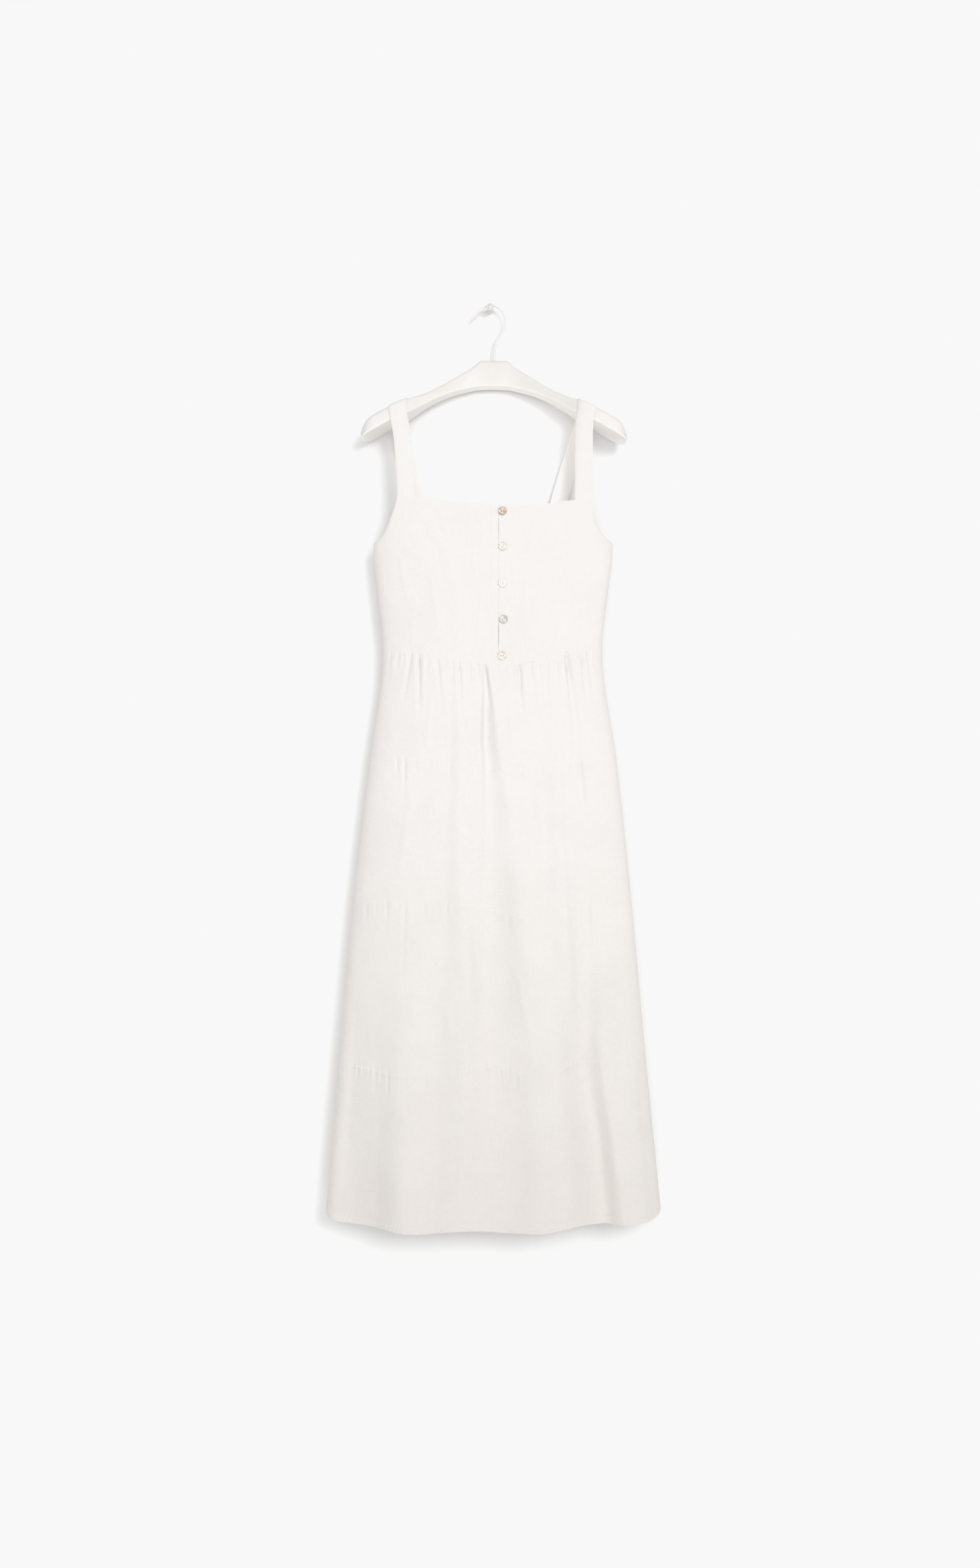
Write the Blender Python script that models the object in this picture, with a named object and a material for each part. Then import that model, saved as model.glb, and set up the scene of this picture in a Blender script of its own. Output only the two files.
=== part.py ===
"""Tiered linen strap dress on a wooden hanger that hangs from a wall peg.

World frame: metres, +Z up, +X to the viewer's right. The wall is the plane y = 0 and the dress faces -Y.
The origin is the centre of the peg's flat back face. In the tables, "down" is the distance below that
origin, and "front", "back" and "side" are distances out from the wall.
"""

import math
from collections import namedtuple

import bmesh
import bpy
from mathutils import Matrix, Vector

# Cloth
BODICE_WALL = 0.0015
SKIRT_WALL = 0.0013
STRAP_WALL = 0.0018
SEAM_GAP = 0.0003
FRONT = -1
BACK = 1

# Garment sections: a flattened tube at each level
Section = namedtuple("Section", "down left right front back side_front side_back squareness")
SECTIONS = (
    Section(0.310, -0.1424, 0.1580, 0.0740, 0.0122, 0.0735, 0.0126, 3.2),
    Section(0.328, -0.1476, 0.1580, 0.0742, 0.0122, 0.0720, 0.0138, 3.2),
    Section(0.344, -0.1543, 0.1597, 0.0745, 0.0122, 0.0690, 0.0160, 3.2),
    Section(0.359, -0.1610, 0.1685, 0.0748, 0.0122, 0.0640, 0.0200, 3.2),
    Section(0.370, -0.1693, 0.1780, 0.0750, 0.0122, 0.0570, 0.0270, 3.2),
    Section(0.381, -0.1820, 0.1920, 0.0752, 0.0122, 0.0430, 0.0430, 3.2),
    Section(0.460, -0.1745, 0.1836, 0.0755, 0.0122, 0.0430, 0.0430, 3.2),
    Section(0.545, -0.1665, 0.1751, 0.0745, 0.0122, 0.0430, 0.0430, 3.1),
    Section(0.716, -0.1862, 0.1973, 0.0810, 0.0122, 0.0455, 0.0455, 2.9),
    Section(0.937, -0.2119, 0.2205, 0.0905, 0.0125, 0.0490, 0.0490, 2.7),
    Section(1.180, -0.2335, 0.2422, 0.0985, 0.0130, 0.0540, 0.0540, 2.6),
    Section(1.430, -0.2563, 0.2667, 0.1060, 0.0140, 0.0590, 0.0590, 2.6),
)
SIDE_SEAM_TOP = 0.381

# Seams and edges that run round the garment: x along the front, and how far down the seam lies there
Seam = namedtuple("Seam", "x down")
NECKLINE = (
    Seam(-0.1424, 0.3107), Seam(-0.1150, 0.3115), Seam(-0.0650, 0.3171), Seam(-0.0070, 0.3221),
    Seam(0.0220, 0.3242), Seam(0.0760, 0.3231), Seam(0.1190, 0.3171), Seam(0.1580, 0.3147),
)
WAIST = (
    Seam(-0.1665, 0.5465), Seam(-0.1200, 0.5535), Seam(-0.0600, 0.5650), Seam(0.0000, 0.5708),
    Seam(0.0400, 0.5710), Seam(0.0800, 0.5610), Seam(0.1250, 0.5503), Seam(0.1751, 0.5421),
)
SEAM_TWO = (
    Seam(-0.1862, 0.7151), Seam(-0.1400, 0.7138), Seam(-0.0900, 0.7180), Seam(-0.0300, 0.7265),
    Seam(0.0180, 0.7318), Seam(0.0600, 0.7255), Seam(0.1150, 0.7177), Seam(0.1973, 0.7172),
)
SEAM_THREE = (
    Seam(-0.2119, 0.9372), Seam(-0.1600, 0.9352), Seam(-0.0900, 0.9383), Seam(-0.0380, 0.9392),
    Seam(0.0000, 0.9460), Seam(0.0420, 0.9532), Seam(0.0850, 0.9455), Seam(0.1250, 0.9395),
    Seam(0.1600, 0.9348), Seam(0.2205, 0.9345),
)
SEAM_FOUR = (
    Seam(-0.2335, 1.1843), Seam(-0.2000, 1.1880), Seam(-0.1530, 1.1953), Seam(-0.1060, 1.1982),
    Seam(-0.0540, 1.1902), Seam(-0.0120, 1.1858), Seam(0.0270, 1.1898), Seam(0.0680, 1.1947),
    Seam(0.0980, 1.1905), Seam(0.1370, 1.1790), Seam(0.1670, 1.1778), Seam(0.2422, 1.1754),
)
HEM = (
    Seam(-0.2563, 1.4310), Seam(-0.1840, 1.4317), Seam(-0.1030, 1.4370), Seam(-0.0400, 1.4330),
    Seam(0.0340, 1.4370), Seam(0.0700, 1.4368), Seam(0.1330, 1.4275), Seam(0.1700, 1.4288),
    Seam(0.2667, 1.4275),
)
HEM_SIDE_LIFT = 0.025
HEM_SIDE_LIFT_POWER = 2.2

# Long folds: rise is how far the cloth stands out of its flat section, left and right are its reach
Fold = namedtuple("Fold", "down x rise left right")
FRONT_FOLDS = (
    (  # centre valley, from the waist to the hem: a short slope on the left and a long one on the right
        Fold(0.565, -0.011, -0.0035, 0.006, 0.008),
        Fold(0.620, -0.006, -0.0055, 0.007, 0.013),
        Fold(0.680, 0.000, -0.0070, 0.009, 0.020),
        Fold(0.730, 0.005, -0.0060, 0.013, 0.022),
        Fold(0.800, 0.005, -0.0048, 0.020, 0.030),
        Fold(0.940, 0.000, -0.0060, 0.034, 0.055),
        Fold(1.060, 0.000, -0.0080, 0.040, 0.064),
        Fold(1.190, 0.006, -0.0085, 0.048, 0.066),
        Fold(1.320, 0.016, -0.0065, 0.062, 0.062),
        Fold(1.445, 0.016, -0.0050, 0.065, 0.066),
    ),
    (  # deep valley on the right
        Fold(0.548, 0.118, -0.0015, 0.006, 0.008),
        Fold(0.610, 0.126, -0.0035, 0.008, 0.010),
        Fold(0.715, 0.134, -0.0018, 0.014, 0.014),
        Fold(0.870, 0.142, -0.0022, 0.024, 0.022),
        Fold(0.950, 0.144, -0.0035, 0.030, 0.026),
        Fold(1.080, 0.147, -0.0065, 0.040, 0.030),
        Fold(1.180, 0.150, -0.0105, 0.046, 0.030),
        Fold(1.300, 0.161, -0.0150, 0.048, 0.034),
        Fold(1.445, 0.174, -0.0175, 0.050, 0.040),
    ),
    (  # broad ridge on the left
        Fold(0.960, -0.108, 0.0000, 0.045, 0.045),
        Fold(1.190, -0.130, 0.0050, 0.045, 0.050),
        Fold(1.445, -0.132, 0.0085, 0.048, 0.056),
    ),
    (  # the left side falls back
        Fold(0.960, -0.190, 0.0000, 0.035, 0.040),
        Fold(1.100, -0.204, -0.0030, 0.035, 0.070),
        Fold(1.200, -0.214, -0.0070, 0.030, 0.074),
        Fold(1.320, -0.226, -0.0115, 0.030, 0.080),
        Fold(1.445, -0.236, -0.0140, 0.030, 0.086),
    ),
    (  # low ridge left of the centre valley
        Fold(0.950, -0.052, 0.0000, 0.026, 0.026),
        Fold(1.050, -0.046, 0.0026, 0.030, 0.028),
        Fold(1.250, -0.044, 0.0034, 0.042, 0.036),
        Fold(1.445, -0.050, 0.0018, 0.044, 0.040),
    ),
    (  # broad ridge right of the centre
        Fold(0.800, 0.060, 0.0000, 0.035, 0.035),
        Fold(0.950, 0.055, 0.0030, 0.040, 0.040),
        Fold(1.190, 0.094, 0.0060, 0.060, 0.040),
        Fold(1.445, 0.118, 0.0100, 0.092, 0.046),
    ),
    (  # ridge near the right side
        Fold(0.980, 0.215, 0.0000, 0.025, 0.020),
        Fold(1.180, 0.216, 0.0045, 0.040, 0.026),
        Fold(1.445, 0.240, 0.0080, 0.050, 0.026),
    ),
    (  # thin ridge left of the centre
        Fold(0.572, -0.052, 0.0006, 0.010, 0.007),
        Fold(0.725, -0.045, 0.0012, 0.020, 0.009),
        Fold(0.870, -0.047, 0.0014, 0.026, 0.012),
        Fold(0.960, -0.040, 0.0012, 0.028, 0.016),
        Fold(1.120, -0.020, 0.0000, 0.028, 0.016),
    ),
    (  # soft ridge right of the centre
        Fold(0.570, 0.094, 0.0000, 0.016, 0.010),
        Fold(0.700, 0.104, 0.0010, 0.024, 0.012),
        Fold(0.810, 0.109, 0.0016, 0.030, 0.014),
        Fold(0.940, 0.118, 0.0018, 0.034, 0.016),
        Fold(1.160, 0.128, 0.0000, 0.030, 0.018),
    ),
    (  # soft crease from the left strap down the bodice
        Fold(0.325, -0.112, 0.0000, 0.014, 0.012),
        Fold(0.399, -0.068, 0.0010, 0.016, 0.013),
        Fold(0.463, -0.053, 0.0012, 0.018, 0.013),
        Fold(0.545, -0.047, 0.0000, 0.016, 0.012),
    ),
    (  # soft crease over the right of the bodice
        Fold(0.440, 0.080, 0.0000, 0.016, 0.014),
        Fold(0.490, 0.090, -0.0010, 0.016, 0.014),
        Fold(0.540, 0.096, 0.0000, 0.016, 0.014),
    ),
)
BACK_FOLDS = (
    (Fold(0.600, -0.120, 0.0000, 0.030, 0.030), Fold(1.000, -0.135, -0.0060, 0.040, 0.040),
     Fold(1.445, -0.150, -0.0090, 0.045, 0.045)),
    (Fold(0.580, -0.045, 0.0000, 0.020, 0.020), Fold(1.000, -0.055, 0.0040, 0.035, 0.035),
     Fold(1.445, -0.062, 0.0060, 0.045, 0.045)),
    (Fold(0.575, 0.020, 0.0000, 0.015, 0.015), Fold(0.900, 0.024, -0.0070, 0.035, 0.035),
     Fold(1.445, 0.030, -0.0120, 0.045, 0.045)),
    (Fold(0.620, 0.100, 0.0000, 0.030, 0.030), Fold(1.000, 0.110, 0.0040, 0.040, 0.040),
     Fold(1.445, 0.122, 0.0060, 0.045, 0.045)),
    (Fold(0.700, 0.170, 0.0000, 0.020, 0.020), Fold(1.445, 0.205, -0.0060, 0.030, 0.030)),
)
FOLD_SIDE_FADE = 0.10

# Gathers below a seam: each starts at x_top on the seam and dies out at x_end, "length" below it
Gather = namedtuple("Gather", "x_top x_end rise reach length")
FRONT_WAIST_GATHERS = (
    Gather(-0.154, -0.160, -0.0020, 0.0045, 0.055),
    Gather(-0.141, -0.147, -0.0015, 0.0040, 0.035),
    Gather(-0.122, -0.134, -0.0030, 0.0050, 0.080),
    Gather(-0.110, -0.109, -0.0055, 0.0055, 0.100),
    Gather(-0.096, -0.097, -0.0015, 0.0040, 0.035),
    Gather(-0.081, -0.074, -0.0030, 0.0050, 0.085),
    Gather(-0.068, -0.067, -0.0015, 0.0035, 0.025),
    Gather(-0.058, -0.057, -0.0015, 0.0030, 0.018),
    Gather(-0.048, -0.043, -0.0040, 0.0045, 0.110),
    Gather(-0.033, -0.030, -0.0015, 0.0035, 0.040),
    Gather(-0.020, -0.011, -0.0030, 0.0045, 0.055),
    Gather(-0.008, 0.001, -0.0045, 0.0050, 0.080),
    Gather(0.012, 0.013, -0.0012, 0.0035, 0.030),
    Gather(0.024, 0.026, -0.0012, 0.0035, 0.028),
    Gather(0.035, 0.037, -0.0015, 0.0040, 0.035),
    Gather(0.045, 0.051, -0.0055, 0.0048, 0.090),
    Gather(0.062, 0.069, -0.0028, 0.0045, 0.070),
    Gather(0.074, 0.080, -0.0018, 0.0040, 0.050),
    Gather(0.087, 0.091, -0.0025, 0.0050, 0.110),
    Gather(0.103, 0.106, -0.0025, 0.0045, 0.060),
    Gather(0.118, 0.126, -0.0045, 0.0050, 0.090),
    Gather(0.132, 0.138, -0.0020, 0.0040, 0.060),
    Gather(0.141, 0.151, -0.0035, 0.0040, 0.110),
    Gather(0.150, 0.164, -0.0030, 0.0040, 0.095),
)
FRONT_SEAM_TWO_GATHERS = (
    Gather(-0.143, -0.144, -0.0025, 0.0045, 0.030),
    Gather(-0.131, -0.132, -0.0030, 0.0045, 0.060),
    Gather(-0.114, -0.115, -0.0018, 0.0045, 0.022),
    Gather(-0.092, -0.093, -0.0014, 0.0045, 0.030),
    Gather(-0.062, -0.062, -0.0012, 0.0045, 0.025),
    Gather(-0.020, -0.020, -0.0015, 0.0045, 0.030),
    Gather(0.048, 0.049, -0.0014, 0.0045, 0.026),
    Gather(0.078, 0.079, -0.0012, 0.0045, 0.022),
    Gather(0.124, 0.127, -0.0022, 0.0045, 0.030),
    Gather(0.139, 0.146, -0.0035, 0.0050, 0.090),
    Gather(0.154, 0.158, -0.0020, 0.0045, 0.035),
)
FRONT_SEAM_THREE_GATHERS = (
    Gather(-0.190, -0.192, -0.0025, 0.0045, 0.040),
    Gather(-0.174, -0.176, -0.0016, 0.0045, 0.030),
    Gather(-0.157, -0.159, -0.0024, 0.0045, 0.032),
    Gather(-0.130, -0.134, -0.0035, 0.0055, 0.130),
    Gather(-0.100, -0.101, -0.0014, 0.0045, 0.028),
    Gather(-0.077, -0.078, -0.0018, 0.0045, 0.030),
    Gather(-0.066, -0.066, -0.0018, 0.0040, 0.028),
    Gather(0.005, 0.004, -0.0024, 0.0045, 0.036),
    Gather(0.028, 0.030, -0.0030, 0.0050, 0.050),
    Gather(0.070, 0.071, -0.0012, 0.0045, 0.024),
    Gather(0.133, 0.134, -0.0020, 0.0045, 0.026),
    Gather(0.152, 0.153, -0.0026, 0.0050, 0.070),
)
FRONT_SEAM_FOUR_GATHERS = (
    Gather(-0.207, -0.208, -0.0026, 0.0045, 0.022),
    Gather(-0.198, -0.199, -0.0020, 0.0038, 0.018),
    Gather(-0.176, -0.178, -0.0030, 0.0050, 0.036),
    Gather(-0.165, -0.166, -0.0024, 0.0042, 0.024),
    Gather(-0.153, -0.155, -0.0032, 0.0048, 0.040),
    Gather(-0.128, -0.129, -0.0014, 0.0045, 0.020),
    Gather(-0.090, -0.091, -0.0012, 0.0045, 0.018),
    Gather(-0.052, -0.052, -0.0014, 0.0045, 0.020),
    Gather(-0.030, -0.030, -0.0018, 0.0040, 0.020),
    Gather(-0.003, -0.001, -0.0034, 0.0045, 0.032),
    Gather(0.012, 0.016, -0.0030, 0.0042, 0.044),
    Gather(0.029, 0.030, -0.0024, 0.0040, 0.020),
    Gather(0.041, 0.043, -0.0024, 0.0045, 0.036),
    Gather(0.062, 0.063, -0.0014, 0.0045, 0.018),
    Gather(0.098, 0.099, -0.0012, 0.0045, 0.018),
    Gather(0.148, 0.149, -0.0028, 0.0045, 0.030),
    Gather(0.192, 0.194, -0.0020, 0.0045, 0.024),
    Gather(0.212, 0.214, -0.0020, 0.0045, 0.020),
)
FRONT_GATHERS = (
    FRONT_WAIST_GATHERS, FRONT_SEAM_TWO_GATHERS, FRONT_SEAM_THREE_GATHERS, FRONT_SEAM_FOUR_GATHERS,
)
# The hidden back has gathers in an uneven rhythm: how many, and their typical depth and length
BackGathers = namedtuple("BackGathers", "count rise reach length")
BACK_GATHERS = (
    BackGathers(20, -0.0030, 0.0045, 0.070),
    BackGathers(8, -0.0022, 0.0048, 0.035),
    BackGathers(8, -0.0024, 0.0048, 0.040),
    BackGathers(10, -0.0026, 0.0048, 0.028),
)
BACK_GATHER_MARGIN = 0.05
BACK_GATHER_SPREAD = 1.03
GATHER_START = 0.40
GATHER_FULL_AT = 0.010

# Skirt mesh: places down each tier's height, and the widest and least column spacing
TIER_ROWS = (
    (0.0, 0.080, 0.42, 1.0),
    (0.0, 0.065, 0.45, 1.0),
    (0.0, 0.065, 0.45, 1.0),
    (0.0, 0.060, 0.45, 1.0),
)
FRONT_COLUMN = 0.0105
BACK_COLUMN = 0.0140
LEAST_COLUMN = 0.0024

# All panels: places across that turn round the side, the last place with a true slope, the steepest
# edge that the wall's inner side follows, and the least share of the wall kept square to a fold
SIDE_PLACES = (0.9992, 0.993, 0.975, 0.945)
SIDE_SHARES = (0.0008, 0.0050, 0.0150)
EVEN_PLACES_END = 0.92
NEARLY_SIDE = 0.99999
STEEPEST_EDGE = 0.6
LEAST_SQUARE = 0.6

# Bodice
BODICE_ROWS = (0.0, 0.08, 0.15, 0.21, 0.25, 0.285, 0.35, 0.50, 0.66, 0.82, 1.0)
BODICE_MIDDLE = 0.45
SIDE_COLUMNS = 15
BACK_COLUMNS = 24
SLIT_X = 0.0133
SLIT_CLOSED = 0.0006
Opening = namedtuple("Opening", "down reach width")
SLIT_OPENINGS = (Opening(0.361, 0.024, 0.0016), Opening(0.525, 0.026, 0.0018))
STAND_LEFT = -0.0010
STAND_RIGHT = 0.0350
STAND_INSET = 0.0008
STAND_COLUMNS = 5

# Buttons
Button = namedtuple("Button", "down x turn")
BUTTONS = (
    Button(0.3333, 0.0192, 0.30),
    Button(0.3878, 0.0198, 1.10),
    Button(0.4445, 0.0196, 1.57),
    Button(0.4999, 0.0206, 0.70),
    Button(0.5562, 0.0185, 0.12),
)
BUTTON_RADIUS = 0.0066
BUTTON_THICK = 0.0024
BUTTON_EDGE = 0.0008
BUTTON_RIM = 0.0012
BUTTON_DISH = 0.0005
BUTTON_DISH_RADIUS = 0.0046
BUTTON_HOLE_RADIUS = 0.0008
BUTTON_HOLE_PITCH = 0.0034
BUTTON_SIDES = 18
HOLE_SIDES = 8

# Straps: the middle line of each strap down its front and down its back
Line = namedtuple("Line", "down x")
Strap = namedtuple("Strap", "name top_x front back")
STRAP_WIDTH = 0.0270
STRAPS = (
    Strap(
        "strap_left", -0.1426,
        (Line(0.172, -0.1426), Line(0.193, -0.1397), Line(0.217, -0.1355), Line(0.261, -0.1317),
         Line(0.311, -0.1290)),
        (Line(0.172, -0.1426), Line(0.207, -0.1390), Line(0.236, -0.1305), Line(0.267, -0.1205),
         Line(0.324, -0.1020)),
    ),
    Strap(
        "strap_right", 0.1500,
        (Line(0.170, 0.1500), Line(0.191, 0.1462), Line(0.217, 0.1450), Line(0.261, 0.1448),
         Line(0.315, 0.1446)),
        (Line(0.178, 0.1485), Line(0.210, 0.1385), Line(0.271, 0.1196), Line(0.309, 0.1085),
         Line(0.324, 0.1046)),
    ),
)
STRAP_ACROSS = (-1.0, -0.5, 0.0, 0.5, 1.0)
STRAP_RISES = (0.25, 0.5, 0.75, 0.92)

# Hanger: half of its length from the centre out, with the top and bottom of each section
Hanger = namedtuple("Hanger", "out top bottom front back")
HANGER_X = 0.0062
HANGER_TILT = math.radians(0.6)
HANGER = (
    Hanger(0.0000, 0.0842, 0.1261, 0.0280, 0.0040),
    Hanger(0.0200, 0.0843, 0.1266, 0.0280, 0.0040),
    Hanger(0.0250, 0.0875, 0.1273, 0.0285, 0.0045),
    Hanger(0.0316, 0.0940, 0.1288, 0.0300, 0.0055),
    Hanger(0.0590, 0.1130, 0.1368, 0.0370, 0.0100),
    Hanger(0.0890, 0.1335, 0.1510, 0.0470, 0.0170),
    Hanger(0.1137, 0.1472, 0.1666, 0.0560, 0.0205),
    Hanger(0.1270, 0.1535, 0.1758, 0.0635, 0.0185),
    Hanger(0.1400, 0.1598, 0.1836, 0.0693, 0.0158),
    Hanger(0.1600, 0.1691, 0.1926, 0.0720, 0.0140),
    Hanger(0.1870, 0.1841, 0.2081, 0.0720, 0.0140),
    Hanger(0.2000, 0.1975, 0.2160, 0.0670, 0.0190),
    Hanger(0.2062, 0.2080, 0.2175, 0.0540, 0.0320),
)
HANGER_STEPS = (
    0.0, 0.010, 0.020, 0.0245, 0.030, 0.040, 0.052, 0.066, 0.080, 0.094, 0.107, 0.119,
    0.129, 0.137, 0.145, 0.153, 0.161, 0.172, 0.183, 0.192, 0.199, 0.2035, 0.2062,
)
HANGER_TOP_ROUND = 0.0080
HANGER_BOTTOM_ROUND = 0.0035
ROUND_SHARE = 0.45
CORNER_STEPS = 3

# Hook: its middle line in the plane through the hanger's middle, from the wood to the tip
HOOK_OUT = 0.0160
HOOK_RADIUS = 0.00175
HOOK_SIDES = 8
HOOK_LINE = (
    Line(0.0839, 0.0066), Line(0.0700, 0.0073), Line(0.0551, 0.0090), Line(0.0442, 0.0144),
    Line(0.0330, 0.0213), Line(0.0215, 0.0243), Line(0.0105, 0.0222), Line(0.0012, 0.0163),
    Line(-0.0044, 0.0075), Line(-0.00545, 0.0000), Line(-0.0028, -0.0082), Line(0.0040, -0.0160),
    Line(0.0112, -0.0236), Line(0.0186, -0.0308),
)
HOOK_STEPS = 3

# Peg: its turned profile, as radius against the distance out from the wall
Turn = namedtuple("Turn", "radius out")
PEG = (
    Turn(0.0034, 0.0000), Turn(0.0034, 0.0218), Turn(0.0058, 0.0222), Turn(0.0058, 0.0244),
    Turn(0.0050, 0.0255), Turn(0.0038, 0.0256), Turn(0.0034, 0.0250), Turn(0.0028, 0.0256),
    Turn(0.0014, 0.0264),
)
PEG_SIDES = 24

# Colours: linear red, green, blue, then roughness and metallic value
Finish = namedtuple("Finish", "colour roughness metallic")
LINEN = Finish((0.89, 0.87, 0.84), 0.85, 0.0)
PAINTED_WOOD = Finish((0.87, 0.84, 0.80), 0.45, 0.0)
WHITE_WIRE = Finish((0.86, 0.85, 0.83), 0.35, 0.0)
PEG_METAL = Finish((0.70, 0.70, 0.69), 0.35, 0.6)
PEARL = Finish((0.72, 0.68, 0.60), 0.25, 0.0)


# Reading a table
def secant(rows, column, k):
    """Slope of the straight line from row k to the next."""
    rise = getattr(rows[k + 1], column) - getattr(rows[k], column)
    return rise / (rows[k + 1][0] - rows[k][0])


def slope(rows, column, k):
    """Slope at row k of a smooth curve that never overshoots the rows."""
    if k == 0 or k == len(rows) - 1:
        return secant(rows, column, min(k, len(rows) - 2))
    before = secant(rows, column, k - 1)
    after = secant(rows, column, k)
    if before * after <= 0:
        return 0.0
    return 2 * before * after / (before + after)


def read(rows, column, place):
    """Value of a column at a place along the table's first column, on a smooth curve through the rows."""
    if place <= rows[0][0]:
        return getattr(rows[0], column)
    if place >= rows[-1][0]:
        return getattr(rows[-1], column)
    k = next(i for i in range(len(rows) - 1) if place <= rows[i + 1][0])
    span = rows[k + 1][0] - rows[k][0]
    t = (place - rows[k][0]) / span
    start = getattr(rows[k], column)
    end = getattr(rows[k + 1], column)
    start_slope = slope(rows, column, k) * span
    end_slope = slope(rows, column, k + 1) * span
    blend = t * t * (3 - 2 * t)
    return (
        start + (end - start) * blend
        + start_slope * t * (1 - t) ** 2
        - end_slope * t * t * (1 - t)
    )


def between(start, end, t):
    return start + (end - start) * t


# The garment's surface
def middle_and_half(down):
    left = read(SECTIONS, "left", down)
    right = read(SECTIONS, "right", down)
    return (left + right) / 2, (right - left) / 2


def across_at(x, down):
    """Place of x between the side edges, from -1 at the left to +1 at the right."""
    middle, half = middle_and_half(down)
    return (x - middle) / half


def roundness(across, down):
    """How far the section stands out of its side edge, from 0 at the side to 1 on the flat, and its slope."""
    power = read(SECTIONS, "squareness", down)
    out = (1 - min(abs(across), 1.0) ** power) ** (1 / power)
    reach = min(abs(across), NEARLY_SIDE)
    steep = -(reach ** (power - 1)) * (1 - reach ** power) ** (1 / power - 1)
    return out, math.copysign(steep, across) if across else 0.0


def fold_rise(folds, x, down):
    """Rise of all long folds at a place."""
    total = 0.0
    for fold in folds:
        if not fold[0].down < down < fold[-1].down:
            continue
        distance = x - read(fold, "x", down)
        reach = read(fold, "right" if distance > 0 else "left", down)
        if abs(distance) < reach:
            total += read(fold, "rise", down) * (1 + math.cos(math.pi * distance / reach)) / 2
    return total


def gather_rise(gathers, x, below_seam):
    """Rise of a tier's gathers at a place: small at the seam, full just below it, gone at their length."""
    total = 0.0
    for gather in gathers:
        if below_seam >= gather.length:
            continue
        run = below_seam / gather.length
        distance = abs(x - between(gather.x_top, gather.x_end, run)) / gather.reach
        if distance < 1:
            start = between(GATHER_START, 1.0, min(1.0, below_seam / GATHER_FULL_AT))
            total += gather.rise * start * (1 - run) * (1 - distance) ** 2
    return total


def garment_point(side, across, down, extra_rise=0.0):
    """Point of the garment's outer face, from its section, its folds and an extra rise."""
    middle, half = middle_and_half(down)
    flat = read(SECTIONS, "front" if side == FRONT else "back", down)
    edge = read(SECTIONS, "side_front" if side == FRONT else "side_back", down)
    out, steep = roundness(across, down)
    x = middle + half * across
    depth = flat - edge
    normal = Vector((-abs(depth) * steep, side * half, 0.0)).normalized()
    fade = min(1.0, (1 - abs(across)) / FOLD_SIDE_FADE)
    folds = FRONT_FOLDS if side == FRONT else BACK_FOLDS
    rise = (fold_rise(folds, x, down) + extra_rise) * fade * fade * (3 - 2 * fade)
    return Vector((x, -(edge + depth * out), -down)) + normal * rise


def seam_level(seam, across):
    """How far down a seam lies at a place across the garment."""
    middle, half = middle_and_half(sum(row.down for row in seam) / len(seam))
    level = read(seam, "down", middle + half * across)
    if seam is HEM:
        out, _ = roundness(across, level)
        level -= HEM_SIDE_LIFT * (1 - out) ** HEM_SIDE_LIFT_POWER
    return level


# Building solids
def material(name, finish):
    made = bpy.data.materials.new(name)
    made.use_nodes = True
    shader = made.node_tree.nodes["Principled BSDF"]
    shader.inputs["Base Color"].default_value = (*finish.colour, 1.0)
    shader.inputs["Roughness"].default_value = finish.roughness
    shader.inputs["Metallic"].default_value = finish.metallic
    return made


def add_object(name, mesh, finish_material):
    mesh.materials.append(finish_material)
    made = bpy.data.objects.new(name, mesh)
    bpy.context.scene.collection.objects.link(made)
    return made


def solid(name, points, faces, finish_material, smooth=True):
    """A closed mesh with its faces pointing out, as an object."""
    shape = bmesh.new()
    corners = [shape.verts.new(point) for point in points]
    for face in faces:
        shape.faces.new([corners[i] for i in face])
    bmesh.ops.triangulate(shape, faces=shape.faces[:])
    bmesh.ops.recalc_face_normals(shape, faces=shape.faces[:])
    mesh = bpy.data.meshes.new(name)
    shape.to_mesh(mesh)
    shape.free()
    if smooth:
        mesh.shade_smooth()
        mesh.set_sharp_from_angle(angle=math.radians(40))
    return add_object(name, mesh, finish_material)


def sheet_faces(rows, columns):
    """Faces of a closed wall between two grids of points, the outer grid first."""
    count = rows * columns
    faces = []
    for r in range(rows - 1):
        for c in range(columns - 1):
            a = r * columns + c
            outer = (a, a + 1, a + columns + 1, a + columns)
            faces.append(outer)
            faces.append(tuple(count + i for i in reversed(outer)))
    rim = [c for c in range(columns)]
    rim += [r * columns + columns - 1 for r in range(1, rows)]
    rim += [(rows - 1) * columns + c for c in range(columns - 2, -1, -1)]
    rim += [r * columns for r in range(rows - 2, 0, -1)]
    for a, b in zip(rim, rim[1:] + rim[:1]):
        faces.append((b, a, count + a, count + b))
    return faces


def wall_directions(row, side, square_left, square_right):
    """Outward directions at a row's points, long enough to keep the wall's thickness. They lie level,
    but for the row's own slope along x, so that the wall's inner edge follows the same seam."""
    directions = []
    last = len(row) - 1
    for k in range(len(row)):
        before = row[max(k, 1)] - row[max(k, 1) - 1]
        after = row[min(k + 1, last)] - row[min(k + 1, last) - 1]
        first = Vector((-side * before.y, side * before.x, 0.0)).normalized()
        second = Vector((-side * after.y, side * after.x, 0.0)).normalized()
        middle = (first + second).normalized()
        middle /= max(LEAST_SQUARE, middle.dot(first))
        if k == 0 and square_left:
            middle = Vector((-1.0, 0.0, 0.0))
        if k == last and square_right:
            middle = Vector((1.0, 0.0, 0.0))
        run = row[min(k + 1, last)] - row[max(k - 1, 0)]
        if abs(run.z) < STEEPEST_EDGE * abs(run.x):
            middle.z = middle.x * run.z / run.x
        directions.append(middle)
    return directions


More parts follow.
